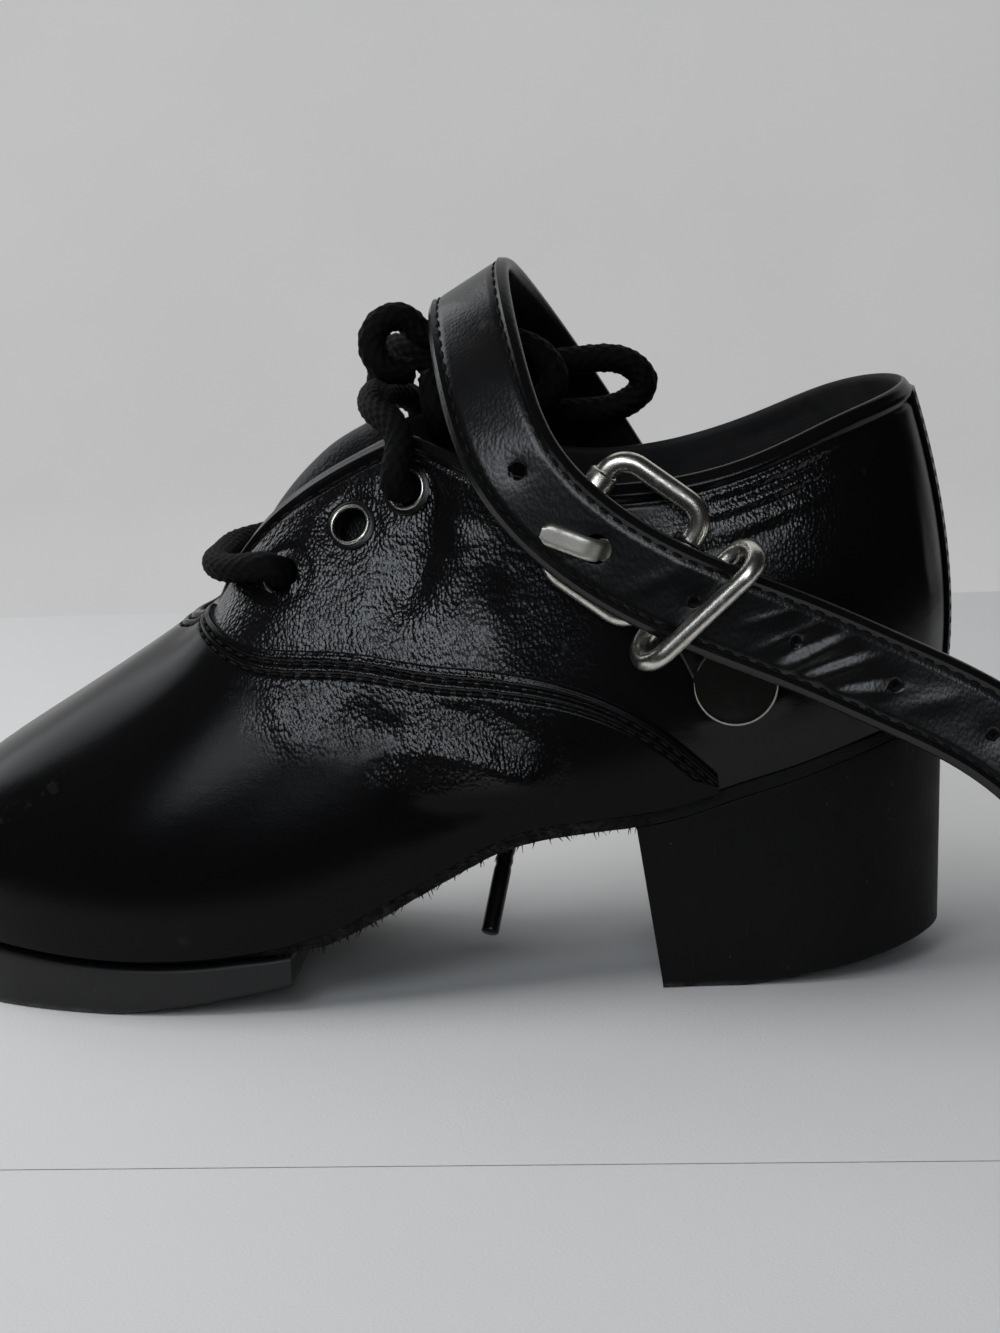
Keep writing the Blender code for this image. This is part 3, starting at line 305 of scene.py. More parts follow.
class Last:
    """The shoe's form: curves from the feather edge up to the rim, all the way round.

    s runs round the shoe in metres, from the toe along the lateral side to the back and on round to the toe.
    t runs up the wall, from nought at the feather edge to one at the rim.
    """

    def __init__(self) -> None:
        """Lays one closed curve through the stations of both sides."""
        sides = {side: self._side(side) for side in Side}
        steps = sum(self._spacing(rows) for rows in sides.values()) / 2
        self.marks = np.concatenate([[0], np.cumsum(steps)])
        self.back = self.marks[-1]
        self.period = 2 * self.back
        knots = np.concatenate([self.marks, self.period - self.marks[-2:0:-1]])
        rows = np.vstack([sides[Side.LATERAL], sides[Side.MEDIAL][-2:0:-1]])
        self.columns = cubic(knots, rows, self.period)
        x, z = np.array(SOLE_PROFILE).T
        self._sole = cubic(from_back(x), (z * HEEL_HEIGHT / 100)[:, None])

    @staticmethod
    def _side(side: Side) -> Array:
        """The station table of one side.

        Args:
            side: That side.

        Returns:
            A row a station, in metres: foot, rim, both handles of the wall's curve, share of the vamp's edge.
        """
        column = {name: np.array(STATIONS)[:, i] for i, name in enumerate(Station._fields)}
        lift = column["med_up"] if side is Side.MEDIAL else 0
        wide, high = BALL_WIDTH / 100, INSTEP_HEIGHT / 100
        return np.stack(
            [
                from_back(column["foot_x"]), column[f"foot_{side.value}"] * wide,
                from_back(column["rim_x"]), column[f"rim_{side.value}"] * wide,
                (column["rim_z"] + lift) * high,
                column["swell"] * wide, column["rise"] * high,
                column["spread"] * wide, column["drop"] * high, column["seam"],
            ],
            axis=1,
        )

    @staticmethod
    def _spacing(rows: Array) -> Array:
        """Mean distance between stations at foot and rim."""
        foot = np.linalg.norm(np.diff(rows[:, 0:2], axis=0), axis=1)
        return (foot + np.linalg.norm(np.diff(rows[:, 2:5], axis=0), axis=1)) / 2

    def sole_top(self, x: Array) -> Array:
        """Height of the sole's upper face."""
        return self._sole(np.ravel(x))[:, 0].reshape(np.shape(x))

    def at_station(self, place: float) -> float:
        """Place round the shoe of a station number on the lateral side."""
        return float(np.interp(place, np.arange(len(self.marks)), self.marks))

    def at_foot_x(self, x: float) -> float:
        """Place round the shoe where the lateral feather edge has that x."""
        places = np.linspace(0, self.back, 400)
        return float(np.interp(x, self.columns(places)[:, 0], places))

    def outward(self, s: Array) -> Array:
        """The way out from the feather edge, in plan.

        Args:
            s: Places round the shoe.

        Returns:
            A unit vector of x and y for each.
        """
        step = self.period * NUDGE
        along = self.columns(s + step)[:, 0:2] - self.columns(s - step)[:, 0:2]
        return unit(np.stack([along[:, 1], -along[:, 0]], axis=1))

    def outline(self, s: Array, inset: Any) -> Array:
        """x and y of the feather edge, moved inwards."""
        return self.columns(s)[:, 0:2] - self.outward(s) * np.reshape(inset, (-1, 1))

    def seam(self, s: Array) -> Array:
        """Share of the wall's height at the vamp's edge."""
        return np.clip(self.columns(s)[:, 9], 0.05, 0.97)

    def point(self, s: Array, t: Array) -> Array:
        """Points of the wall.

        Args:
            s: Places round the shoe.
            t: Shares of the wall's height.

        Returns:
            One point a row.
        """
        s, t = np.broadcast_arrays(np.atleast_1d(s), np.atleast_1d(t))
        c = self.columns(s)
        out = self.outward(s)
        foot = np.column_stack([c[:, 0], c[:, 1], self.sole_top(c[:, 0])])
        rim = c[:, 2:5]
        lean = unit(foot[:, :2] - rim[:, :2] + RIM_LEAN * out)
        low = foot + np.column_stack([out * c[:, 5:6], c[:, 6]])
        high = rim + np.column_stack([lean * c[:, 7:8], -c[:, 8]])
        t = t[:, None]
        return (1 - t) ** 3 * foot + 3 * t * (1 - t) ** 2 * low + 3 * t**2 * (1 - t) * high + t**3 * rim

    def frame(self, s: Array, t: Array) -> tuple[Array, Array, Array]:
        """The wall's own directions.

        Args:
            s: Places round the shoe.
            t: Shares of the wall's height.

        Returns:
            Points, outward normals, and the way up the wall in metres for the whole of t.
        """
        s, t = np.broadcast_arrays(np.atleast_1d(s), np.atleast_1d(t))
        step = self.period * NUDGE
        around = self.point(s + step, t) - self.point(s - step, t)
        low, high = np.maximum(t - 10 * NUDGE, 0), np.minimum(t + 10 * NUDGE, 1)
        up = (self.point(s, high) - self.point(s, low)) / (high - low)[:, None]
        return self.point(s, t), unit(np.cross(around, up)), up

    def eyelet(self, number: int, side: Side) -> tuple[Array, Array]:
        """Where an eyelet sits.

        Args:
            number: The eyelet, counted from the bottom.
            side: Its side.

        Returns:
            Its centre and the way out.
        """
        station, height = EYELETS[number - 1]
        s = self.at_station(station)
        place, normal, _ = self.frame(s if side is Side.LATERAL else self.period - s, height)
        return place[0], normal[0]


class Wire:
    """A shader socket that takes part in Python sums."""

    def __init__(self, graph: "Graph", socket: bpy.types.NodeSocket) -> None:
        """Wraps an output socket of a graph."""
        self.graph = graph
        self.socket = socket

    def _sum(self, operation: str, first: Any, second: Any) -> "Wire":
        """A Math node on two values."""
        return self.graph.node("ShaderNodeMath", 0, {0: first, 1: second}, operation=operation)

    def __add__(self, other: Any) -> "Wire":
        """Sum."""
        return self._sum("ADD", self, other)

    __radd__ = __add__

    def __sub__(self, other: Any) -> "Wire":
        """Difference."""
        return self._sum("SUBTRACT", self, other)

    def __rsub__(self, other: Any) -> "Wire":
        """Difference, the other way round."""
        return self._sum("SUBTRACT", other, self)

    def __mul__(self, other: Any) -> "Wire":
        """Product."""
        return self._sum("MULTIPLY", self, other)

    __rmul__ = __mul__

    def between(self, low: float, high: float) -> "Wire":
        """A smooth step from nought at low to one at high."""
        return self.graph.node(
            "ShaderNodeMapRange", 0, {0: self, 1: low, 2: high}, interpolation_type="SMOOTHSTEP"
        )


class Graph:
    """The nodes of one material."""

    def __init__(self, name: str) -> None:
        """Starts a material with its Principled shader.

        Args:
            name: The material's name.
        """
        self.material = bpy.data.materials.new(name)
        self.material.use_nodes = True
        self.tree = self.material.node_tree
        self.shader = self.tree.nodes["Principled BSDF"]
        self.where = self.node("ShaderNodeTexCoord", "Object")

    def node(self, kind: str, output: Any, inputs: dict[Any, Any] | None = None, **settings: Any) -> Wire:
        """Adds a node.

        Args:
            kind: Its type.
            output: Name or number of the socket that is wanted.
            inputs: Values or wires by socket.
            settings: Its properties.

        Returns:
            That output.
        """
        node = self.tree.nodes.new(kind)
        for name, value in settings.items():
            setattr(node, name, value)
        for key, value in (inputs or {}).items():
            self.feed(node.inputs[key], value)
        return Wire(self, node.outputs[output])

    def feed(self, socket: bpy.types.NodeSocket, value: Any) -> None:
        """Links a wire to a socket, or sets its value.

        Args:
            socket: An input.
            value: The wire or the value.
        """
        if isinstance(value, Wire):
            self.tree.links.new(value.socket, socket)
        else:
            socket.default_value = value

    def set(self, **values: Any) -> None:
        """Feeds sockets of the shader, named with underscores."""
        for name, value in values.items():
            self.feed(self.shader.inputs[name.replace("_", " ")], value)

    def mix(self, share: Wire, first: Wire, second: Wire) -> None:
        """Ends the material in a mix of two shaders."""
        both = self.node("ShaderNodeMixShader", 0, {0: share, 1: first, 2: second})
        self.feed(self.tree.nodes["Material Output"].inputs["Surface"], both)

    def axis(self, letter: str) -> Wire:
        """One object coordinate."""
        return self.node("ShaderNodeSeparateXYZ", letter, {0: self.where})

    def stretched(self, scale: Sequence[float]) -> Wire:
        """Object coordinates with a scale for each axis."""
        return self.node("ShaderNodeMapping", 0, {"Vector": self.where, "Scale": tuple(scale)})

    def noise(self, size: float, detail: float = 2.0, source: Wire | None = None) -> Wire:
        """Soft noise with lumps of a size in metres."""
        values = {"Vector": source or self.where, "Scale": 1 / size, "Detail": detail}
        return self.node("ShaderNodeTexNoise", 0, values)

    def cells(self, size: float, source: Wire | None = None) -> Wire:
        """Distance in a pattern of cells of a size in metres."""
        values = {"Vector": source or self.where, "Scale": 1 / size}
        return self.node("ShaderNodeTexVoronoi", "Distance", values, feature="F1")

    def blend(self, share: Any, first: Sequence[float], second: Sequence[float]) -> Wire:
        """A colour between two."""
        values = {0: share, 6: (*first, 1), 7: (*second, 1)}
        return self.node("ShaderNodeMix", 2, values, data_type="RGBA")

    def bump(self, height: Wire, depth: float) -> Wire:
        """A normal from a height of nought to one and its depth in metres."""
        return self.node("ShaderNodeBump", 0, {"Height": height, "Strength": 1.0, "Distance": depth})


class Patch(NamedTuple):
    """A grained place in millimetres: x where it starts, is full, fades, ends; z where it starts, is full."""

    start: float
    full: float
    fades: float
    end: float
    low: float
    high: float


@dataclass(frozen=True)
class Leather:
    """Black leather: pebbled, wrinkled, clouded and scuffed, or polished apart from grained patches."""

    name: str
    colour: Triple = (0.0035, 0.0035, 0.0037)
    scuff: Triple = (0.016, 0.016, 0.017)
    smooth: float = 0.2
    polish: float = 0.2
    roughness: float = 0.22
    shine: float = 0.6
    pebble: float = 0.50 * MM
    wrinkle: float = 2.0 * MM
    pore: float = 0.22 * MM
    cloud: float = 13 * MM
    depth: float = 0.10 * MM
    smooth_depth: float = 0.02 * MM
    wander: float = 12
    patches: tuple[Patch, ...] = ()
    rim: Pair | None = None

    def material(self) -> Material:
        """Builds it; rim says between which heights of the UV map the grain stops.

        Returns:
            The material.
        """
        nodes = Graph(self.name)
        pebbles = nodes.cells(self.pebble, nodes.stretched((1.0, 1.0, 0.6)))
        wrinkles = nodes.noise(self.wrinkle, 3, nodes.stretched((1.0, 1.0, 1.6)))
        pores = nodes.noise(self.pore, 2)
        dull = nodes.noise(self.cloud, 3)
        rub = (nodes.noise(2.2 * MM, 4) * nodes.noise(9 * MM, 1)).between(0.40, 0.52)
        colour = nodes.blend(rub * 0.5, self.colour, self.scuff)
        height = (1 - pebbles) * (nodes.noise(4 * MM, 1) * 0.8 + 0.6) + wrinkles * 1.4 + pores * 0.1
        nodes.set(
            Base_Color=colour,
            Roughness=dull * 0.12 + (self.roughness - 0.06) + rub * 0.08,
            Normal=nodes.bump(height, self.depth),
            Specular_IOR_Level=self.shine,
        )
        if self.patches:
            polished = nodes.node(
                "ShaderNodeBsdfPrincipled", 0,
                {
                    "Base Color": colour,
                    "Roughness": dull * 0.1 + (self.smooth - 0.05) + rub * 0.06,
                    "Normal": nodes.bump(pores + wrinkles, self.smooth_depth),
                    "Specular IOR Level": self.polish,
                },
            )
            nodes.mix(self._grained(nodes), polished, Wire(nodes, nodes.shader.outputs[0]))
        return nodes.material

    def _grained(self, nodes: Graph) -> Wire:
        """Where the patches lie.

        Args:
            nodes: The material's nodes.

        Returns:
            One on a patch, nought elsewhere.
        """
        x = nodes.axis("X") * (1 / MM) + (nodes.noise(5 * MM, 2) - 0.5) * self.wander
        z = nodes.axis("Z") * (1 / MM)
        grained = sum(
            x.between(patch.start, patch.full) * (1 - x.between(patch.fades, patch.end))
            * z.between(patch.low, patch.high)
            for patch in self.patches
        )
        if self.rim:
            up_the_wall = nodes.node("ShaderNodeSeparateXYZ", "Y", {0: nodes.node("ShaderNodeUVMap", 0)})
            grained = grained * (1 - up_the_wall.between(*self.rim))
        return grained


@dataclass(frozen=True)
class Resin:
    """Hard black block: fine upright scratches, pale specks, and a paler lower edge that is a painted
    highlight.
    """

    name: str
    colour: Triple = (0.004, 0.004, 0.004)
    roughness: float = 0.5
    # Colour of the lowest millimetre: a painted highlight of the floor's light along the bottom bevel
    wear_and_highlight: Triple = (0.09, 0.09, 0.085)
    shine: float = 0.16

    def material(self) -> Material:
        """Builds it.

        Returns:
            The material.
        """
        nodes = Graph(self.name)
        scratches = nodes.noise(0.35 * MM, 2, nodes.stretched((1, 1, 0.06)))
        specks = 1 - nodes.cells(1.9 * MM).between(0.05, 0.09)
        some = nodes.noise(7 * MM, 1).between(0.5, 0.62)
        # Paler mottled band just above the ground: painted highlight along the lower bevel
        edge = (1 - nodes.axis("Z").between(0.1 * MM, 1.1 * MM)) * nodes.noise(2.5 * MM, 3).between(0.3, 0.7)
        marks = specks * some * 0.55 + edge * 0.6 + scratches.between(0.66, 0.8) * 0.12
        nodes.set(
            Base_Color=nodes.blend(marks, self.colour, self.wear_and_highlight),
            Roughness=nodes.noise(6 * MM, 3) * 0.22 + (self.roughness - 0.1) + scratches * 0.1,
            Normal=nodes.bump(scratches * 0.6 + nodes.noise(1.3 * MM, 3), 0.05 * MM),
            Specular_IOR_Level=self.shine,
        )
        return nodes.material


@dataclass(frozen=True)
class Fibre:
    """Rough cut leather: black where it is inked, bare brown fibres along the arch."""

    name: str
    colour: Triple = (0.004, 0.004, 0.004)
    bare: Triple = (0.034, 0.029, 0.021)
    depth: float = 0.45 * MM
    arch: tuple[float, float, float, float] = (-76 * MM, -66 * MM, -22 * MM, -10 * MM)

    def material(self) -> Material:
        """Builds it.

        Returns:
            The material.
        """
        nodes = Graph(self.name)
        fibres = nodes.noise(0.45 * MM, 4, nodes.stretched((0.45, 0.45, 1.6)))
        lumps = nodes.noise(1.6 * MM, 3)
        x = nodes.axis("X")
        wear_and_highlight = x.between(*self.arch[:2]) * (1 - x.between(*self.arch[2:]))
        nodes.set(
            Base_Color=nodes.blend((fibres * lumps).between(0.2, 0.42) * wear_and_highlight, self.colour, self.bare),
            Roughness=0.85,
            Specular_IOR_Level=0.3,
            Normal=nodes.bump(fibres + lumps * 0.7, self.depth),
        )
        return nodes.material


@dataclass(frozen=True)
class Metal:
    """Nickel plate with a warm cast, faint scratches and dull spots."""

    name: str
    colour: Triple = (0.86, 0.83, 0.75)
    dull: Triple = (0.58, 0.55, 0.48)
    roughness: float = 0.28
    spotted: float = 1.0

    def material(self) -> Material:
        """Builds it.

        Returns:
            The material.
        """
        nodes = Graph(self.name)
        spots = nodes.noise(1.8 * MM, 4).between(0.52, 0.75) * self.spotted
        scratches = nodes.noise(0.16 * MM, 2, nodes.stretched((1, 0.2, 1)))
        nodes.set(
            Base_Color=nodes.blend(spots * 0.7, self.colour, self.dull),
            Roughness=spots * 0.18 + (self.roughness - 0.04) + scratches * 0.08,
            Metallic=1.0,
            Normal=nodes.bump(scratches + nodes.noise(0.9 * MM, 2), 0.012 * MM),
        )
        return nodes.material


@dataclass(frozen=True)
class Cord:
    """Matt braided or spun thread, its paler flecks painted glints."""

    name: str
    colour: Triple = (0.0018, 0.0018, 0.0018)
    # Colour of the flecks: painted glints on the fibres
    pale: Triple = (0.011, 0.011, 0.011)
    thread: float = 0.18 * MM

    def material(self) -> Material:
        """Builds it.

        Returns:
            The material.
        """
        nodes = Graph(self.name)
        threads = nodes.noise(self.thread, 3)
        nodes.set(
            # Paler flecks where the thread noise is high: painted glints
            Base_Color=nodes.blend(threads.between(0.5, 0.8) * 0.8, self.colour, self.pale),
            Roughness=0.62,
            Normal=nodes.bump(threads, 0.14 * MM),
            Specular_IOR_Level=0.12,
        )
        return nodes.material


@dataclass(frozen=True)
class Plain:
    """A smooth finish with a little variation."""

    name: str
    colour: Triple
    second: Triple
    roughness: float
    lump: float
    depth: float

    def material(self) -> Material:
        """Builds it.

        Returns:
            The material.
        """
        nodes = Graph(self.name)
        lumps = nodes.noise(self.lump, 3)
        nodes.set(
            Base_Color=nodes.blend(lumps.between(0.3, 0.7), self.colour, self.second),
            Roughness=lumps * 0.14 + self.roughness - 0.07,
            Normal=nodes.bump(nodes.noise(self.lump / 12, 2), self.depth),
        )
        return nodes.material


@dataclass(frozen=True)
class Backdrop:
    """Pale cloth of the table and the wall; the wall glows a little and can be seen through from behind."""

    name: str
    colour: Triple = (0.66, 0.66, 0.66)
    second: Triple = (0.70, 0.70, 0.70)
    glow: float = 0.0
    one_sided: bool = False

    def material(self) -> Material:
        """Builds it.

        Returns:
            The material.
        """
        nodes = Graph(self.name)
        cloth = nodes.blend(nodes.noise(60 * MM, 3), self.colour, self.second)
        nodes.set(
            Base_Color=cloth,
            Roughness=0.95,
            Normal=nodes.bump(nodes.noise(0.5 * MM, 2), 0.05 * MM),
            Emission_Color=cloth,
            Emission_Strength=self.glow,
            Specular_IOR_Level=0.1,
        )
        if self.one_sided:
            behind = nodes.node("ShaderNodeNewGeometry", "Backfacing")
            clear = nodes.node("ShaderNodeBsdfTransparent", 0)
            nodes.mix(behind, Wire(nodes, nodes.shader.outputs[0]), clear)
        return nodes.material


class Palette:
    """Every finish of the shoe, made once."""

    def __init__(self) -> None:
        """Makes the materials."""
        facing = Patch(-92, -80, -46, -16, -20, -10)
        collar = Patch(-12, -4, 12, 28, 62, 75)
        flank = (Patch(-73, -66, -53, -45, 37, 45), Patch(-53, -45, -36, -20, 32, 37))
        self.upper = Leather(
            "upper_black_leather", polish=0.3, patches=(facing, collar), rim=(0.575, 0.59)
        ).material()
        self.vamp = Leather("vamp_black_leather", polish=0.12, shine=0.5, patches=flank).material()
        self.strap = Leather("strap_black_leather", depth=0.025 * MM, roughness=0.3).material()
        self.tongue = Leather("tongue_black_leather", depth=0.07 * MM, roughness=0.4, shine=0.2).material()
        self.lining = Plain(
            "lining_leather", (0.007, 0.007, 0.007), (0.014, 0.013, 0.013), 0.7, 3 * MM, 0.08 * MM
        ).material()
        self.resin = Resin("heel_resin_black").material()
        self.tip = Resin("tip_resin_black", (0.006, 0.006, 0.006), 0.48, shine=0.5).material()
        self.fibre = Fibre("sole_leather_edge").material()
        self.metal = Metal("nickel_plate").material()
        self.worn_metal = Metal("worn_nickel", roughness=0.5).material()
        # The rivet caps' nickel is darkened: painted shade for the dark room their flat faces mirror
        self.cap = Metal("nickel_painted_shade", (0.42, 0.41, 0.37), (0.30, 0.29, 0.25), 0.12, 0.15).material()
        # The cords' paler flecks are painted glints on the fibres
        self.cord = Cord("braided_lace").material()
        self.thread = Cord("stitch_thread", colour=(0.006, 0.006, 0.006), pale=(0.05, 0.05, 0.05)).material()
        self.pale_thread = Cord("pale_thread", colour=(0.03, 0.03, 0.03), pale=(0.16, 0.16, 0.15)).material()
        self.enamel = Plain(
            "black_enamel", (0.003, 0.003, 0.003), (0.006, 0.006, 0.006), 0.35, 2 * MM, 0.01 * MM
        ).material()
        self.aglet = Plain(
            "aglet_plastic", (0.006, 0.006, 0.006), (0.012, 0.012, 0.012), 0.3, 2 * MM, 0.01 * MM
        ).material()


def laid_grid(points: Array, across: int, down: int, slots: Sequence[int] = ()) -> Mesh:
    """A grid whose corners lie on rows of points, again from the first where they run out.

    Args:
        points: Rows of points.
        across: Faces along a row.
        down: Strips of faces.
        slots: Material number for each strip.

    Returns:
        The mesh, with a UV map over the whole grid.
    """
    rows, columns = points.shape[:2]
    mesh = bmesh.new()
    mesh.loops.layers.uv.new("UVMap")
    bmesh.ops.create_grid(mesh, x_segments=across, y_segments=down, size=1, calc_uvs=True)
    if slots:
        for face in mesh.faces:
            face.material_index = slots[int((face.calc_center_median().y + 1) / 2 * down)]
    flat = np.array([vert.co[:2] for vert in mesh.verts])
    i = np.rint((flat[:, 0] + 1) / 2 * across).astype(int) % columns
    j = np.rint((flat[:, 1] + 1) / 2 * down).astype(int) % rows
    for vert, place in zip(mesh.verts, points[j, i]):
        vert.co = place
    return mesh


def skin(points: Array, around: bool = True, along: bool = False, slots: Sequence[int] = ()) -> Mesh:
    """A closed skin laid over rows of points.

    Args:
        points: Rows of points.
        around: Whether each row closes on itself.
        along: Whether the last row joins the first; open ends are filled.
        slots: Material number for each strip between rows.

    Returns:
        The mesh.
    """
    rows, columns = points.shape[:2]
    mesh = laid_grid(points, columns if around else columns - 1, rows if along else rows - 1, slots)
    bmesh.ops.remove_doubles(mesh, verts=mesh.verts, dist=1e-8)
    rim = [edge for edge in mesh.edges if edge.is_boundary]
    if rim:
        bmesh.ops.holes_fill(mesh, edges=rim, sides=0)
    bmesh.ops.recalc_face_normals(mesh, faces=mesh.faces)
    return mesh


def sheet(points: Array, facing: Triple) -> Mesh:
    """A thin sheet over rows of points, left open.

    Args:
        points: Rows of points.
        facing: The way its faces look.

    Returns:
        The mesh.
    """
    mesh = laid_grid(points, points.shape[1] - 1, points.shape[0] - 1)
    bmesh.ops.recalc_face_normals(mesh, faces=mesh.faces)
    if sum(face.normal.dot(Vector(facing)) * face.calc_area() for face in mesh.faces) < 0:
        bmesh.ops.reverse_faces(mesh, faces=mesh.faces)
    return mesh


def settle(name: str, mesh: Mesh, materials: Iterable[Any], sharp: float = 45) -> Piece:
    """Makes an object at the origin from a mesh.

    Args:
        name: Its name.
        mesh: The mesh, freed here.
        materials: Its material slots.
        sharp: Angle in degrees past which an edge is sharp.

    Returns:
        The object.
    """
    data = bpy.data.meshes.new(name)
    mesh.to_mesh(data)
    mesh.free()
    for material in materials:
        data.materials.append(material)
    data.shade_smooth()
    data.set_sharp_from_angle(angle=math.radians(sharp))
    piece = bpy.data.objects.new(name, data)
    bpy.context.scene.collection.objects.link(piece)
    return piece


def dress(piece: Piece, slot: str, *nodes: str) -> Piece:
    """Ties a piece to the body.

    Args:
        piece: The piece.
        slot: The record's material slot; not used.
        nodes: The solids that it stands for.

    Returns:
        The piece.
    """
    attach(piece, ROOT)
    if nodes:
        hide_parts(*nodes)
    LOG.info("%s: %d faces", piece.name, len(piece.data.polygons))
    return piece


def punch(piece: Piece, drill: Mesh) -> None:
    """Cuts a mesh out of a piece for good.

    Args:
        piece: The piece.
        drill: What is cut out of it, freed here.
    """
    cutter = settle("drill", drill, [])
    change = piece.modifiers.new("punch", "BOOLEAN")
    change.operation = "DIFFERENCE"
    change.solver = "EXACT"
    change.object = cutter
    whole = piece.evaluated_get(bpy.context.evaluated_depsgraph_get())
    old = piece.data
    piece.data = bpy.data.meshes.new_from_object(whole)
    piece.modifiers.clear()
    bpy.data.objects.remove(cutter, do_unlink=True)
    bpy.data.meshes.remove(old)


def posed(place: Sequence[float] | Vector, axes: tuple[Vector, Vector, Vector]) -> Matrix:
    """A matrix from an origin and three axes."""
    return Matrix.Translation(Vector(place)) @ Matrix(axes).transposed().to_4x4()


def aim(place: Any, direction: Any, up: Any = (0, 0, 1)) -> Matrix:
    """Where and which way a small piece stands.

    Args:
        place: Its origin.
        direction: The way its Z looks.
        up: What its X lies nearest to.

    Returns:
        The matrix.
    """
    z = Vector(direction).normalized()
    x = (Vector(up) - z * z.dot(Vector(up))).normalized()
    return posed(place, (x, z.cross(x), z))


def turned(profile: Sequence[Pair], matrix: Matrix, steps: int = 40) -> Mesh:
    """A closed profile of (radius, height) spun about its Z and put in place.

    Args:
        profile: The profile's corners.
        matrix: Where it goes.
        steps: Steps of a full turn.

    Returns:
        The mesh.
    """
    mesh = bmesh.new()
    corners = [mesh.verts.new((radius, 0, height)) for radius, height in profile]
    edges = [mesh.edges.new((a, b)) for a, b in zip(corners, corners[1:] + corners[:1])]
    bmesh.ops.spin(
        mesh, geom=corners + edges, cent=(0, 0, 0), axis=(0, 0, 1), angle=2 * math.pi, steps=steps,
        use_merge=True,
    )
    bmesh.ops.remove_doubles(mesh, verts=mesh.verts, dist=1e-7)
    bmesh.ops.recalc_face_normals(mesh, faces=mesh.faces)
    bmesh.ops.transform(mesh, matrix=matrix, verts=mesh.verts)
    return mesh


def tube(route: Array, radius: Any, around: int, closed: bool = False, relief: Array | None = None) -> Array:
    """Rings of points round a route.

    Args:
        route: The centre line.
        radius: One radius, or one a ring.
        around: Points in a ring.
        closed: Whether the route closes on itself.
        relief: Height of the surface, ring by ring.

    Returns:
        Points for a skin.
    """
    if closed:
        ahead = unit(np.roll(route, -1, axis=0) - np.roll(route, 1, axis=0))
    else:
        ahead = unit(np.gradient(route, axis=0))
    side = np.zeros_like(route)
    start = np.cross(ahead[0], (0.31, 0.52, 0.8))
    for i, way in enumerate(ahead):
        start = start - way * np.dot(start, way)
        start = start / np.linalg.norm(start)
        side[i] = start
    other = np.cross(ahead, side)
    angle = np.arange(around) * 2 * math.pi / around
    reach = np.broadcast_to(np.reshape(radius, (-1, 1)), (len(route), around))
    if relief is not None:
        reach = reach + relief
    ring = side[:, None] * np.cos(angle)[:, None] + other[:, None] * np.sin(angle)[:, None]
    return route[:, None] + ring * reach[:, :, None]


def band_section(half: float, thick: float, face: int, edge: int) -> Array:
    """Points round a flat band with round edges.

    Args:
        half: Half its width.
        thick: Its thickness.
        face: Points across a face.
        edge: Points round an edge.

    Returns:
        Rows of across, up and whether the point is on the upper face.
    """
    flat = half - thick / 2
    across = np.linspace(-flat, flat, face)
    turn = np.linspace(math.pi / 2, -math.pi / 2, edge + 2)[1:-1]
    upper = np.column_stack([across, np.full(face, thick / 2), np.ones(face)])
    right = np.column_stack([flat + np.cos(turn) * thick / 2, np.sin(turn) * thick / 2, np.zeros(edge)])
    lower = np.column_stack([across[::-1], np.full(face, -thick / 2), np.zeros(face)])
    left = np.column_stack([-right[::-1, 0], right[::-1, 1], np.zeros(edge)])
    return np.vstack([upper, right, lower, left])


class Ridge(NamedTuple):
    """A soft line along an edge, in millimetres: its height, its distance from the edge and its width."""

    height: float
    away: float
    width: float

    def at(self, distance: Array) -> Array:
        """Its height in metres at distances from the edge."""
        return self.height * MM * hump(distance - self.away * MM, self.width * MM)


@dataclass
class Thread:
    """Rows of stitches."""

    pitch: float = 2.4 * MM
    length: float = 1.8 * MM
    radius: float = 0.26 * MM

    def sew(self, mesh: Mesh, line: Array, normals: Array) -> None:
        """Adds stitches along a line on a surface.

        Args:
            mesh: Takes the stitches.
            line: Points of the row.
            normals: The way out at each.
        """
        run = lengths(line)
        for at in np.arange(self.pitch / 2, run[-1], self.pitch):
            here, ahead, out = (
                np.array([np.interp(at + shift, run, source[:, k]) for k in range(3)])
                for shift, source in ((0, line), (self.length / 2, line), (0, normals))
            )
            matrix = aim(here, out, ahead - here)
            size = Matrix.Diagonal((self.length / 2, self.radius, self.radius * 0.9, 1))
            bmesh.ops.create_uvsphere(mesh, u_segments=6, v_segments=4, radius=1, matrix=matrix @ size)


class Crease(NamedTuple):
    """A soft ridge, or a trough if its depth is below nought, through places of (station, height share)."""

    places: tuple[Pair, ...]
    width: float
    depth: float


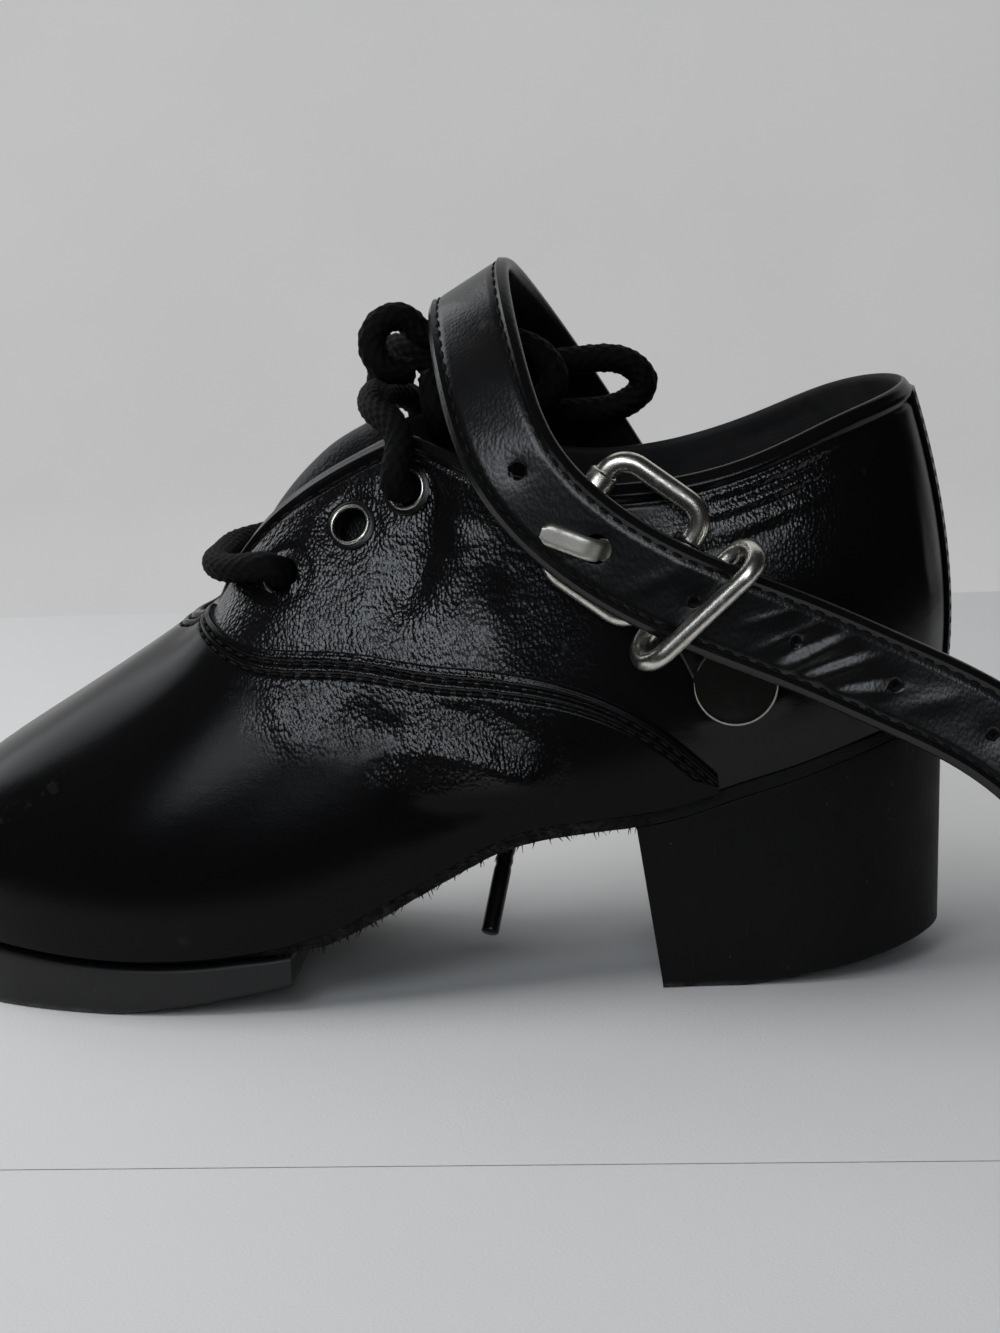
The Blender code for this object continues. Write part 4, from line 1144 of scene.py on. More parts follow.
# The upper's creases, widths and depths in millimetres: collar, facing, flank, counter
CREASES = (
    Crease(((9.6, 0.955), (10.5, 0.945), (11.35, 0.955)), 0.9, 0.42),
    Crease(((9.6, 0.925), (10.5, 0.92), (11.2, 0.925)), 0.9, -0.36),
    Crease(((9.6, 0.90), (10.4, 0.895), (11.1, 0.90)), 1.0, 0.40),
    Crease(((9.6, 0.87), (10.4, 0.87), (11.0, 0.87)), 0.9, -0.30),
    Crease(((9.6, 0.84), (10.3, 0.84), (10.9, 0.83)), 1.2, 0.34),
    Crease(((9.6, 0.80), (10.5, 0.80)), 1.3, -0.25),
    Crease(((4.4, 0.66), (4.67, 0.82), (5.05, 0.96)), 6.0, 1.10),
    Crease(((7.5, 0.90), (6.47, 0.73), (5.73, 0.63), (5.42, 0.55)), 3.4, -0.80),
    Crease(((7.75, 0.83), (7.19, 0.68), (6.14, 0.56)), 3.6, 0.80),
    Crease(((8.0, 0.70), (7.12, 0.53), (6.36, 0.46)), 2.2, -0.50),
    Crease(((7.9, 0.76), (6.9, 0.66), (5.96, 0.56)), 0.9, -0.20),
    Crease(((7.3, 0.60), (6.4, 0.54), (5.83, 0.49)), 0.9, -0.18),
    Crease(((7.36, 0.95), (7.21, 0.79)), 2.0, -0.30),
    Crease(((5.82, 0.78), (5.85, 0.58)), 5.0, -0.80),
    Crease(((5.4, 0.20), (6.4, 0.11), (7.4, 0.10)), 6.0, 1.25),
    Crease(((5.2, 0.31), (5.54, 0.29), (5.96, 0.21), (6.74, 0.13), (7.23, 0.13)), 2.4, 0.62),
    Crease(((5.05, 0.21), (5.73, 0.12), (7.04, 0.04)), 2.6, -0.50),
    Crease(((4.4, 0.62), (4.45, 0.51), (4.58, 0.41)), 2.6, 0.45),
    Crease(((4.91, 0.48), (5.17, 0.34)), 3.6, -0.75),
    Crease(((5.72, 0.36), (6.85, 0.20)), 1.1, -0.28),
    Crease(((6.14, 0.34), (7.34, 0.21)), 1.1, -0.24),
    Crease(((5.29, 0.41), (5.34, 0.31)), 1.4, -0.25),
    Crease(((9.3, 0.30), (9.75, 0.24), (10.2, 0.30)), 1.8, 0.50),
    Crease(((11.95, 0.82), (11.92, 0.52), (12.1, 0.20)), 2.6, 0.40),
)


@dataclass
class Upper:
    """The leather upper: quarters with a lining, the vamp lapped over them, stitches, strip and eyelets.

    The facing's row of stitches runs between two stations, and lip is where an eyelet's bright ring lies.
    """

    last: Last
    palette: Palette
    wall: float = 1.6 * MM
    step: float = 0.9 * MM
    columns: int = 380
    vamp_columns: int = 330
    rim_lines: tuple[Ridge, ...] = (Ridge(0.45, 0.8, 0.65), Ridge(-0.30, 2.1, 0.45))
    rim_share: float = 0.97
    rim_rise: float = 0.7
    hole: float = 2.75 * MM
    ring_dent: Ridge = Ridge(-0.35, 4.3, 0.75)
    vamp_edge: float = 6 * MM
    vamp_edge_share: float = 24 * MM
    vamp_furrows: tuple[Ridge, ...] = (Ridge(-0.40, 1.7, 0.42), Ridge(-0.40, 3.5, 0.42))
    vamp_swell: tuple[Ridge, ...] = (Ridge(0.22, 0.7, 0.5), Ridge(0.20, 2.6, 0.5))
    vamp_fold: float = 0.55 * MM
    vamp_lap: float = 0.05 * MM
    sink: float = 0.16 * MM
    facing_row: float = 2.1 * MM
    facing_ends: Pair = (4.1, 7.1)
    strip_half: float = 3.0 * MM
    strip_thick: float = 0.6 * MM
    strip_lift: float = 0.02 * MM
    strip_row: Ridge = Ridge(-0.16, 1.9, 0.35)
    strip_crown: float = 0.12 * MM
    lip: Pair = (2.68 * MM, 3.28 * MM)
    thread: Thread = field(default_factory=Thread)
    strip_thread: Thread = field(default_factory=lambda: Thread(2.1 * MM, 1.4 * MM, 0.24 * MM))

    def build(self) -> None:
        """Makes every piece of the upper."""
        self._folds = [fold for crease in CREASES for fold in self._fold(crease)]
        self._rings = [self.last.eyelet(number, side)[0] for side in Side for number in (1, 2, 3)]
        self._quarters()
        self._vamp()
        self._stitches()
        self._back_strip()
        self._eyelets()

    def _fold(self, crease: Crease) -> list[tuple[Array, float, float]]:
        """Lays a crease on both sides of the shoe.

        Args:
            crease: The crease.

        Returns:
            For each side its line, width and depth, in metres.
        """
        places = np.array(crease.places)
        knots = np.linspace(0, 1, len(places))
        share = np.linspace(0, 1, 12)
        s = np.array([self.last.at_station(p) for p in np.interp(share, knots, places[:, 0])])
        t = np.interp(share, knots, places[:, 1])
        sides = (s, self.last.period - s)
        return [(self.last.point(side, t), crease.width * MM, crease.depth * MM) for side in sides]

    def relief(self, points: Array) -> Array:
        """The creases' height.

        Args:
            points: Points of the wall.

        Returns:
            How far each is pushed out.
        """
        total = np.zeros(len(points))
        for line, width, depth in self._folds:
            low, high = line.min(axis=0) - 3 * width, line.max(axis=0) + 3 * width
            near = np.flatnonzero(((points > low) & (points < high)).all(axis=1))
            best = np.full(len(near), 1.0)
            taper = np.zeros(len(near))
            for i, (a, b) in enumerate(zip(line, line[1:])):
                way = b - a
                w = np.clip(((points[near] - a) @ way) / (way @ way), 0, 1)
                distance = np.linalg.norm(points[near] - a - w[:, None] * way, axis=1)
                closer = distance < best
                best[closer] = distance[closer]
                taper[closer] = np.sin(math.pi * (i + w[closer]) / (len(line) - 1)) ** 0.7
            total[near] += depth * taper * hump(best, width)
        for centre in self._rings:
            total += self.ring_dent.at(np.linalg.norm(points - centre, axis=1))
        return total

    def _laid(self, s: Array, t: Array, out: Array | float, lift: Array | float = 0.0) -> Array:
        """Points on the creased wall.

        Args:
            s: A grid of places round the shoe.
            t: A grid of shares of the wall's height.
            out: How far out of the wall.
            lift: How far up along it.

        Returns:
            A grid of points.
        """
        place, normal, up = self.last.frame(s.ravel(), t.ravel())
        fade = ease(t.ravel(), 0.0, 0.06) * (1 - ease(t.ravel(), 0.985, 1.0))
        push = np.broadcast_to(out, s.shape).ravel() + self.relief(place) * fade
        raised = unit(up) * np.broadcast_to(lift, s.shape).ravel()[:, None]
        return (place + normal * push[:, None] + raised).reshape(*s.shape, 3)

    def _rim_speed(self, s: Array) -> Array:
        """Metres up the wall near the rim for the whole of t."""
        return np.linalg.norm(self.last.frame(s, np.full(len(s), self.rim_share))[2], axis=1)

    def _quarters(self) -> None:
        """A wall with a bead along its rim, a lining inside and six punched holes."""
        s = np.arange(self.columns) * self.last.period / self.columns
        outer = np.concatenate([np.linspace(0, 0.86, 52), np.linspace(0.86, 1, 30)[1:]])
        inner = np.linspace(1, 0, 36)
        turn = np.linspace(0, math.pi, 9)[1:-1]
        from_rim = (1 - outer)[:, None] * self._rim_speed(s)[None]
        bead = sum(line.at(from_rim) for line in self.rim_lines)
        over = -self.wall / 2 * (1 - np.cos(turn))[:, None]
        layers = [
            self._laid(*np.meshgrid(s, share), out, lift)
            for share, out, lift in (
                (outer, bead, 0.0),
                (np.ones(len(turn)), over, self.rim_rise * self.wall * np.sin(turn)[:, None]),
                (inner, -self.wall, 0.0),
            )
        ]
        points = np.concatenate(layers)
        lined = len(outer) + len(turn) // 2
        slots = [0 if row < lined else 1 for row in range(len(points))]
        mesh = skin(points, True, True, slots)
        piece = settle("quarters", mesh, [self.palette.upper, self.palette.lining])
        drill = bmesh.new()
        for side in Side:
            for number in (1, 2, 3):
                bmesh.ops.create_cone(
                    drill, cap_ends=True, segments=28, radius1=self.hole, radius2=self.hole, depth=8 * MM,
                    matrix=aim(*self.last.eyelet(number, side)),
                )
        punch(piece, drill)
        dress(piece, "upper_leather", "upper")

    def _vamp_end(self) -> float:
        """Place round the shoe where the vamp's edge meets the sole."""
        s = np.linspace(self.last.at_station(8.5), self.last.at_station(10), 200)
        return float(s[np.argmax(self.last.columns(s)[:, 9] < 0.055)])

    def _below_edge(self, s: Array, distance: Any) -> Array:
        """Height below the vamp's edge.

        Args:
            s: Places round the shoe.
            distance: How far below.

        Returns:
            Shares of the wall's height.
        """
        seam = self.last.seam(s)
        _, _, up = self.last.frame(s, seam)
        return seam - distance / np.linalg.norm(up, axis=1)

    def _vamp(self) -> None:
        """The front piece, with a folded edge and two stitched furrows along it."""
        end = self._vamp_end()
        s = np.linspace(-end, end, self.vamp_columns)
        seam = self.last.seam(s)
        fine = np.minimum(self.vamp_edge, seam * self.vamp_edge_share)
        start = self._below_edge(s, fine)
        rows, push = [], []
        for share in np.linspace(0, 1, 46):
            rows.append(start * share)
            push.append(np.full(len(s), self.step))
        for share in np.linspace(0, 1, 34)[1:]:
            distance = fine * (1 - share)
            lines = sum(line.at(distance) for line in self.vamp_furrows + self.vamp_swell)
            rows.append(self._below_edge(s, distance))
            push.append(self.step + lines)
        for turn in np.linspace(0, math.pi / 2, 7)[1:]:
            rows.append(self._below_edge(s, -self.vamp_fold * math.sin(turn)))
            push.append(np.full(len(s), self.vamp_lap + (self.step + 0.02 * MM) * math.cos(turn)))
        for share in np.linspace(1, 0, 12)[1:]:
            rows.append(seam * share)
            push.append(np.full(len(s), self.vamp_lap))
        points = self._laid(np.tile(s, (len(rows), 1)), np.clip(np.array(rows), 0, 1), np.array(push))
        piece = settle("vamp", skin(points, False, True), [self.palette.vamp])
        dress(piece, "upper_leather")

    def _sew(self, mesh: Mesh, s: Array, t: Array, out: float) -> None:
        """Adds a row of stitches on the wall, a little sunk.

        Args:
            mesh: Takes the stitches.
            s: Places of the row round the shoe.
            t: Its shares of the wall's height.
            out: How far the leather lies out of the wall.
        """
        line = self._laid(s[None], t[None], out - self.sink)[0]
        self.thread.sew(mesh, line, self.last.frame(s, t)[1])

    def _stitches(self) -> None:
        """Two rows along the vamp's edge and one along each facing."""
        mesh = bmesh.new()
        end = self._vamp_end()
        s = np.linspace(-end * 0.995, end * 0.995, 1200)
        for furrow in self.vamp_furrows:
            self._sew(mesh, s, self._below_edge(s, furrow.away * MM), self.step)
        facing = np.linspace(*(self.last.at_station(end) for end in self.facing_ends), 500)
        for s in (facing, self.last.period - facing):
            self._sew(mesh, s, 1 - self.facing_row / self._rim_speed(s), 0.0)
        dress(settle("upper_stitches", mesh, [self.palette.thread]), "upper_leather")

    def _back_strip(self) -> None:
        """The strip over the back seam, stitched along both sides."""
        t = np.linspace(0.02, 0.985, 110)
        s = np.full(len(t), self.last.back)
        section = band_section(self.strip_half, self.strip_thick, 15, 5)
        across, up, on_face = section.T
        lift = self.strip_lift + self.strip_thick / 2
        groove = self.strip_row.at(np.abs(across)) * on_face
        crown = self.strip_crown * (1 - (across / self.strip_half) ** 2) * on_face
        around, share = np.meshgrid(self.last.back + across, t)
        points = self._laid(around, share, (lift + up + groove + crown)[None])
        dress(settle("back_seam_strip", skin(points), [self.palette.upper]), "upper_leather", "back_strip")
        mesh = bmesh.new()
        _, normal, _ = self.last.frame(s, t)
        for side in (-1, 1):
            row = s + side * self.strip_row.away * MM
            line = self._laid(row[None], t[None], lift + self.strip_thick / 2 - 0.05 * MM)[0]
            self.strip_thread.sew(mesh, line, normal)
        dress(settle("back_strip_stitches", mesh, [self.palette.pale_thread]), "upper_leather")

    def _eyelets(self) -> None:
        """Rings with a bright rolled lip, a dark flange and a barrel through the wall."""
        curl = np.linspace(math.pi, -0.3, 9)
        lip = [(3.0 + 0.28 * math.cos(angle), 0.5 + 0.3 * math.sin(angle)) for angle in curl]
        barrel = [(2.6, -1.9), (2.66, 0.3)]
        flange = [(3.6, 0.38), (3.95, 0.16), (3.9, 0.06), (2.74, 0.1), (2.72, -1.9)]
        profile = [(radius * MM, height * MM) for radius, height in barrel + lip + flange]
        for side in Side:
            for number in (1, 2, 3):
                name = f"eyelet_{side.value}_{number}"
                place, out = (Vector(v) for v in self.last.eyelet(number, side))
                mesh = turned(profile, aim(place, out))
                for face in mesh.faces:
                    reach = face.calc_center_median() - place
                    radius = (reach - out * reach.dot(out)).length
                    face.material_index = int(not self.lip[0] < radius < self.lip[1])
                finishes = [self.palette.metal, self.palette.enamel]
                dress(settle(f"{name}_ring", mesh, finishes), "nickelled_steel", name)


@dataclass
class Bottom:
    """Outsole, toe tip, heel and insole.

    Edges are the radii of a block's lower and upper edge, and torn is the size and height of lumps. A row of
    fibres is its first and last x in millimetres and their number.
    """

    last: Last
    palette: Palette
    tip_flat: Pair = (-114 * MM, -95 * MM)
    tip_rear: float = -66 * MM
    tip_lift: Pair = (1.8 * MM, 4.2 * MM)
    heel_top: Pair = (-13.2 * MM, 34.5 * MM)
    heel_ground: Pair = (-10.0 * MM, 35.0 * MM)
    heel_flat_end: float = 2.5 * MM
    heel_lift: float = 4.8 * MM
    heel_taper: float = 1.6 * MM
    breast_slant: float = 2.4 * MM
    sole_edges: Pair = (0.25 * MM, 0.25 * MM)
    tip_edges: Pair = (0.6 * MM, 0.6 * MM)
    heel_edges: Pair = (0.6 * MM, 0.12 * MM)
    insole_edges: Pair = (0.3 * MM, 0.3 * MM)
    insole_inset: float = 2.5 * MM
    insole_thick: float = 1.4 * MM
    sole_across: int = 10
    torn_coarse: Pair = (1.6 * MM, 0.45 * MM)
    torn_fine: Pair = (0.5 * MM, 0.25 * MM)
    fibres: tuple[tuple[float, float, int], ...] = ((-68, -16, 260), (-14.5, -11, 24))

    def build(self) -> None:
        """Makes the four pieces and the loose fibres."""
        self._outsole()
        self._toe_tip()
        self._heel()
        self._insole()
        self._fringe()

    def _edge(self, x: Array) -> tuple[Array, Array]:
        """The outsole's inset and thickness."""
        percent, inset, thick = np.array(SOLE_EDGE).T
        return np.interp(x, from_back(percent), inset * MM), np.interp(x, from_back(percent), thick * MM)

    def _under(self, x: Array) -> Array:
        """Height just under the outsole."""
        return self.last.sole_top(x) - 2 * GAP - self._edge(x)[1]

    @staticmethod
    def _slab(walls: Callable[[Array, Side], Array], levels: Array, across: int) -> Array:
        """Rings round a block.

        Args:
            walls: Points of a side wall, section by section, for its levels.
            levels: Rows of (share of the height, rounding angle), from the bottom up.
            across: Points across the top and the bottom.

        Returns:
            Points for a skin.
        """
        lateral, medial = walls(levels, Side.LATERAL), walls(levels, Side.MEDIAL)
        share = np.linspace(0, 1, across + 2)[1:-1][None, :, None]
        top = lateral[:, -1:] * (1 - share) + medial[:, -1:] * share
        bottom = medial[:, :1] * (1 - share) + lateral[:, :1] * share
        return np.concatenate([lateral, top, medial[:, ::-1], bottom], axis=1)

    def _walls(
        self, s: dict[Side, Array], inset: Array, bottom: Height, top: Height, edges: Pair,
        taper: float = 0.0, shrink: Height | None = None,
    ) -> Callable[[Array, Side], Array]:
        """Side walls of a block between two heights, with rounded edges.

        Args:
            s: Places round the shoe for each side.
            inset: How far the wall lies inside the feather edge.
            bottom: Height of the lower face at x.
            top: Height of the upper face at x.
            edges: Radius of the lower and of the upper edge.
            taper: How much further in the wall's foot lies.
            shrink: Moves the foot's x.

        Returns:
            A function for the slab.
        """
        radius, crown = edges

        def walls(levels: Array, side: Side) -> Array:
            """Points of one wall.

            Args:
                levels: Rows of (share of the height, rounding angle).
                side: The side of the shoe.

            Returns:
                Points, section by section.
            """
            places = s[side] if side is Side.LATERAL else -s[side]
            columns = []
            for share, curl in levels:
                size = crown if share > 0.5 else radius
                extra = size * (1 - math.cos(curl))
                low = self.last.outline(places, inset + taper + extra)
                if shrink:
                    low = np.column_stack([shrink(low[:, 0]), low[:, 1]])
                high = self.last.outline(places, inset + extra)
                plan = low * (1 - share) + high * share
                rounding = size * math.sin(curl)
                z0, z1 = bottom(low[:, 0]), top(high[:, 0])
                floor, ceiling = z0 + radius, z1 - crown
                z = floor * (1 - share) + ceiling * share
                z = z + (rounding if share > 0.5 else -rounding)
                columns.append(np.column_stack([plan, z]))
            return np.stack(columns, axis=1)

        return walls

    @staticmethod
    def _levels(rows: int) -> Array:
        """Levels of a wall with rounded edges.

        Args:
            rows: Levels between the edges.

        Returns:
            Rows of (share of the wall's height, rounding angle), from the lower to the upper edge.
        """
        turn = np.linspace(math.pi / 2, 0, 5)[:-1]
        low = [(0.0, angle) for angle in turn]
        wall = [(share, 0.0) for share in np.linspace(0, 1, rows)]
        return np.array(low + wall + [(1.0, angle) for angle in turn[::-1]])

    @staticmethod
    def _eased_end(points: Array, first: int, inner: float, step: float) -> Array:
        """Rounds the flat end of a block, by a smaller ring in front.

        Args:
            points: Rings of the block.
            first: 0 for its first ring, -1 for its last one.
            inner: How much smaller the new ring is.
            step: How far the old ring moves back.

        Returns:
            The rings.
        """
        ring = points[first]
        centre = ring.mean(axis=0)
        reach = np.linalg.norm(ring - centre, axis=1, keepdims=True)
        small = centre + (ring - centre) * (1 - inner / np.maximum(reach, 4 * inner))
        away = np.array([step, 0, 0])
        if first == 0:
            return np.concatenate([small[None], ring[None] + away, points[1:]])
        return np.concatenate([points[:-1], ring[None] - away, small[None]])

    @staticmethod
    def _spread(start: float, end: float, count: int) -> Array:
        """Places between two ends, closer together near both."""
        return start + (end - start) * (1 - np.cos(np.linspace(0, math.pi, count))) / 2

    def _outsole(self) -> None:
        """The thin sole with a torn, fibrous edge."""
        s = self._spread(0, self.last.back, 260)
        inset, _ = self._edge(self.last.columns(s)[:, 0])
        walls = self._walls(
            {side: s for side in Side}, inset,
            lambda x: self.last.sole_top(x) - GAP - self._edge(x)[1],
            lambda x: self.last.sole_top(x) - GAP, self.sole_edges,
        )
        levels = self._levels(7)
        points = self._slab(walls, levels, self.sole_across)
        torn = sum(roughen(points, size) * height for size, height in (self.torn_coarse, self.torn_fine))
        bare = np.zeros(points.shape[1])
        medial = len(levels) + self.sole_across
        for begin in (0, medial):
            bare[begin : begin + len(levels)] = 1
        arch = ease(points[..., 0], -72 * MM, -60 * MM) * (1 - ease(points[..., 0], -14 * MM, -6 * MM))
        outward = np.sign(points[..., 1])
        points[..., 1] += outward * torn * bare * (0.25 + 0.75 * arch)
        points[..., 2] += torn * 0.5 * bare * arch
        dress(settle("outsole_leather", skin(points), [self.palette.fibre]), "sole_leather", "outsole")

    def _tip_floor(self, x: Array) -> Array:
        """The tip's lower face: flat under the ball, rising to the toe and to its rear end.

        Args:
            x: Places along the shoe.

        Returns:
            Heights.
        """
        front, rear = self.tip_flat
        to_toe = np.clip((front - x) / (front - from_back(100)), 0, None)
        to_rear = np.clip((x - rear) / (self.tip_rear - rear), 0, None)
        return self.tip_lift[0] * to_toe**2 + self.tip_lift[1] * to_rear**1.3

    def _toe_tip(self) -> None:
        """The hard block under the forefoot."""
        s = self._spread(0, self.last.at_foot_x(self.tip_rear), 150)
        sides = {side: s for side in Side}
        walls = self._walls(sides, np.zeros(len(s)), self._tip_floor, self._under, self.tip_edges)
        points = self._eased_end(self._slab(walls, self._levels(10), 14), -1, 0.5 * MM, 0.5 * MM)
        dress(settle("toe_tip_block", skin(points), [self.palette.tip]), "heel_resin", "toe_tip")

    def _heel_floor(self, x: Array) -> Array:
        """The heel's lower face: flat, then rising to the back."""
        reach = self.heel_ground[1] - self.heel_flat_end
        return self.heel_lift * np.clip((x - self.heel_flat_end) / reach, 0, None)

    def _heel(self) -> None:
        """The heel block, narrowing downwards, its breast turned a little."""
        breast = self.last.at_foot_x(self.heel_top[0])
        forward = self.last.at_foot_x(self.heel_top[0] - self.breast_slant)
        back = self.last.back
        share = self._spread(0, 1, 130)
        sides = {
            Side.LATERAL: breast + share * (back - breast),
            Side.MEDIAL: forward + share * (back - forward),
        }
        inset, _ = self._edge(self.last.columns(sides[Side.LATERAL])[:, 0])
        walls = self._walls(
            sides, inset, self._heel_floor, lambda x: self._under(x) + 0.8 * GAP, self.heel_edges,
            self.heel_taper, lambda x: np.interp(x, self.heel_top, self.heel_ground),
        )
        points = self._slab(walls, self._levels(26), 18)
        points = self._eased_end(points, 0, 0.45 * MM, 0.45 * MM)
        dress(settle("heel_block", skin(points), [self.palette.resin]), "heel_resin", "heel")

    def _insole(self) -> None:
        """The insole inside the upper."""
        s = self._spread(0.03 * self.last.back, 0.975 * self.last.back, 120)
        walls = self._walls(
            {side: s for side in Side}, np.full(len(s), self.insole_inset), self.last.sole_top,
            lambda x: self.last.sole_top(x) + self.insole_thick, self.insole_edges,
        )
        points = self._slab(walls, self._levels(4), 16)
        dress(settle("insole_board", skin(points), [self.palette.lining]), "lining_leather", "insole")

    def _fringe(self) -> None:
        """Loose fibres along the torn edge of the arch and at the heel's breast."""
        draw = np.random.RandomState(7)
        mesh = bmesh.new()
        x = np.concatenate([draw.uniform(*row) for row in self.fibres]) * MM
        for place in x:
            s = self.last.at_foot_x(float(place)) * draw.choice((-1, 1), p=(0.4, 0.6))
            at = np.array([s])
            inset, thick = self._edge(np.array([place]))
            plan = self.last.outline(at, inset)[0]
            z = float(self.last.sole_top(plan[:1])[0] - GAP - thick[0] * draw.uniform(0.4, 1.0))
            way = np.append(self.last.outward(at)[0] * draw.uniform(0.2, 1.0), -draw.uniform(0.2, 1.0))
            way[0] += draw.uniform(-0.6, 0.6)
            reach = draw.uniform(0.6, 2.0) * MM
            matrix = aim(np.append(plan, z) + unit(way) * reach * 0.35, way, (1, 0.2, 0.1))
            bmesh.ops.create_cone(
                mesh, segments=4, radius1=draw.uniform(0.09, 0.2) * MM, radius2=0.02 * MM, depth=reach,
                cap_ends=True, matrix=matrix,
            )
        dress(settle("edge_fibres", mesh, [self.palette.fibre]), "sole_leather")


@dataclass
class Tongue:
    """The tongue under the lacing."""

    palette: Palette
    centre: float = 0.6 * MM
    thick: float = 2.0 * MM
    columns: int = 41
    bulge: float = 1.012
    dents: Pair = (9 * MM, 0.35 * MM)

    def build(self) -> None:
        """A thick sheet, arched across, with a few soft dents."""
        rows = np.array(TONGUE_ROWS) * MM
        run = lengths(rows[:, :2])
        x, z, half, fall = cubic(run, rows)(np.linspace(0, run[-1], 110)).T[..., None]
        face = np.linspace(-1, 1, self.columns)
        share = np.concatenate([face, [self.bulge], face[::-1], [-self.bulge]])
        upper = np.ones(self.columns)
        up = np.concatenate([upper, [0], -upper, [0]]) * self.thick / 2
        flat = np.zeros((len(x), len(share)))
        middle = np.stack([x + flat, self.centre + half * share, z - fall * share**2], axis=2)
        along = np.gradient(middle, axis=0)
        across = np.stack([flat, half + flat, -2 * fall * share], axis=2)
        out = unit(np.cross(along, across))
        out *= np.sign(out[..., 2:3])
        dents = roughen(middle, self.dents[0]) * self.dents[1]
        points = middle + out * (up + dents)[..., None]
        piece = settle("tongue_leather", skin(points), [self.palette.tongue])
        dress(piece, "upper_leather", "tongue")


class Lay(Enum):
    """How a stretch of lace lies."""

    TAUT = "taut"
    LOOSE = "loose"
    COILED = "coiled"
    HANGING = "hanging"


class FarEnd(Enum):
    """What the far end of a stretch of lace is."""

    OBJECT = "object"
    FITTING = "fitting"


@dataclass
class Lacing:
    """The braided lace: two bars, the bow's knot and loops, and two ends with aglets."""

    last: Last
    palette: Palette
    radius: float = 2.3 * MM
    aglet_radius: float = 1.45 * MM
    around: int = 48
    step: float = 0.38 * MM
    plaits: int = 8
    plait: float = 2.2 * MM
    weave: float = 0.17 * MM
    sink: float = 0.12 * MM
    pinch: Pair = (0.12, 2.2 * MM)
    crimps: Pair = (0.12, 0.24)
    lifts: tuple[float, ...] = (-2.4 * MM, 0.6 * MM, 3.6 * MM)
    knot_centre: Triple = (-40.5 * MM, 0.5 * MM, 88.8 * MM)
    knot_radius: float = 4.8 * MM
    knot_length: float = 6.6 * MM
    knot_turns: float = 1.35

    def build(self) -> None:
        """Makes every stretch of lace and its aglets."""
        for name, number, route in (("lace_bar_low", 1, LACE_BAR_LOW), ("lace_bar_top", 3, LACE_BAR_TOP)):
            self._bar(name, number, np.array(route) * MM)
        for name, route in (("lace_loop_heel", LACE_LOOP_HEEL), ("lace_loop_up", LACE_LOOP_UP)):
            self._cord(name, np.array(route) * MM, Lay.LOOSE)
        u = np.linspace(-0.5, 0.5, 40)
        turn = 2 * math.pi * self.knot_turns * u
        knot = np.array(self.knot_centre) + np.column_stack(
            [self.knot_length * u, self.knot_radius * np.cos(turn), self.knot_radius * np.sin(turn)]
        )
        self._cord("lace_knot", knot, Lay.COILED)
        for name, route, ends in (
            ("long", LACE_END_LONG, AGLET_LONG), ("short", LACE_END_SHORT, AGLET_SHORT),
        ):
            aglet = self._aglet(f"aglet_{name}", np.array(ends) * MM)
            self._cord(f"lace_end_{name}", np.array(route) * MM, Lay.HANGING, FarEnd.FITTING)

    def _bar(self, name: str, number: int, route: Array) -> None:
        """A bar from eyelet to eyelet, in through both.

        Args:
            name: The solid that it stands for.
            number: The eyelets' number.
            route: Points of its route between them.
        """
        (near, near_out), (far, far_out) = (self.last.eyelet(number, side) for side in Side)
        points = [near + near_out * lift for lift in self.lifts]
        points += list(route)
        points += [far + far_out * lift for lift in reversed(self.lifts)]
        self._cord(name, np.array(points), Lay.TAUT)

    def _cord(
        self, name: str, route: Array, lay: Lay, end: FarEnd = FarEnd.OBJECT
    ) -> None:
        """One stretch of lace with its plaits.

        Args:
            name: The solid that it stands for.
            route: Points of its route.
            lay: How it lies; not used.
            end: What its far end is; not used.
        """
        line = smooth_route(route, self.step)
        run = lengths(line)
        angle = np.arange(self.around) * 2 * math.pi / self.around
        beat = 2 * math.pi * run[:, None] / self.plait
        relief = self.weave * np.cos(self.plaits * angle)[None] * np.cos(beat)
        ends = np.minimum(run, run[-1] - run)
        radius = (self.radius - self.sink) * (1 - self.pinch[0] * hump(ends, self.pinch[1]))
        mesh = skin(tube(line, radius, self.around, relief=relief))
        piece = settle(f"{name}_braid", mesh, [self.palette.cord], 70)
        dress(piece, "lace_cord", name)

    def _aglet(self, name: str, ends: Array) -> Piece:
        """A crimped plastic sleeve.

        Args:
            name: The solid that it stands for.
            ends: Its two ends.

        Returns:
            The piece.
        """
        share = np.concatenate([[0, 0.004], np.linspace(0.02, 0.98, 40), [0.99, 1.0]])
        line = ends[0] + (ends[1] - ends[0]) * share[:, None]
        crimped = sum(0.10 * hump(share - place, 0.03) for place in self.crimps)
        radius = self.aglet_radius * (1 - crimped)
        radius[[0, -1]] *= 0.8
        radius[-2] *= 0.93
        piece = settle(f"{name}_sleeve", skin(tube(line, radius, 20)), [self.palette.aglet], 50)
        return dress(piece, "aglet_plastic", name)


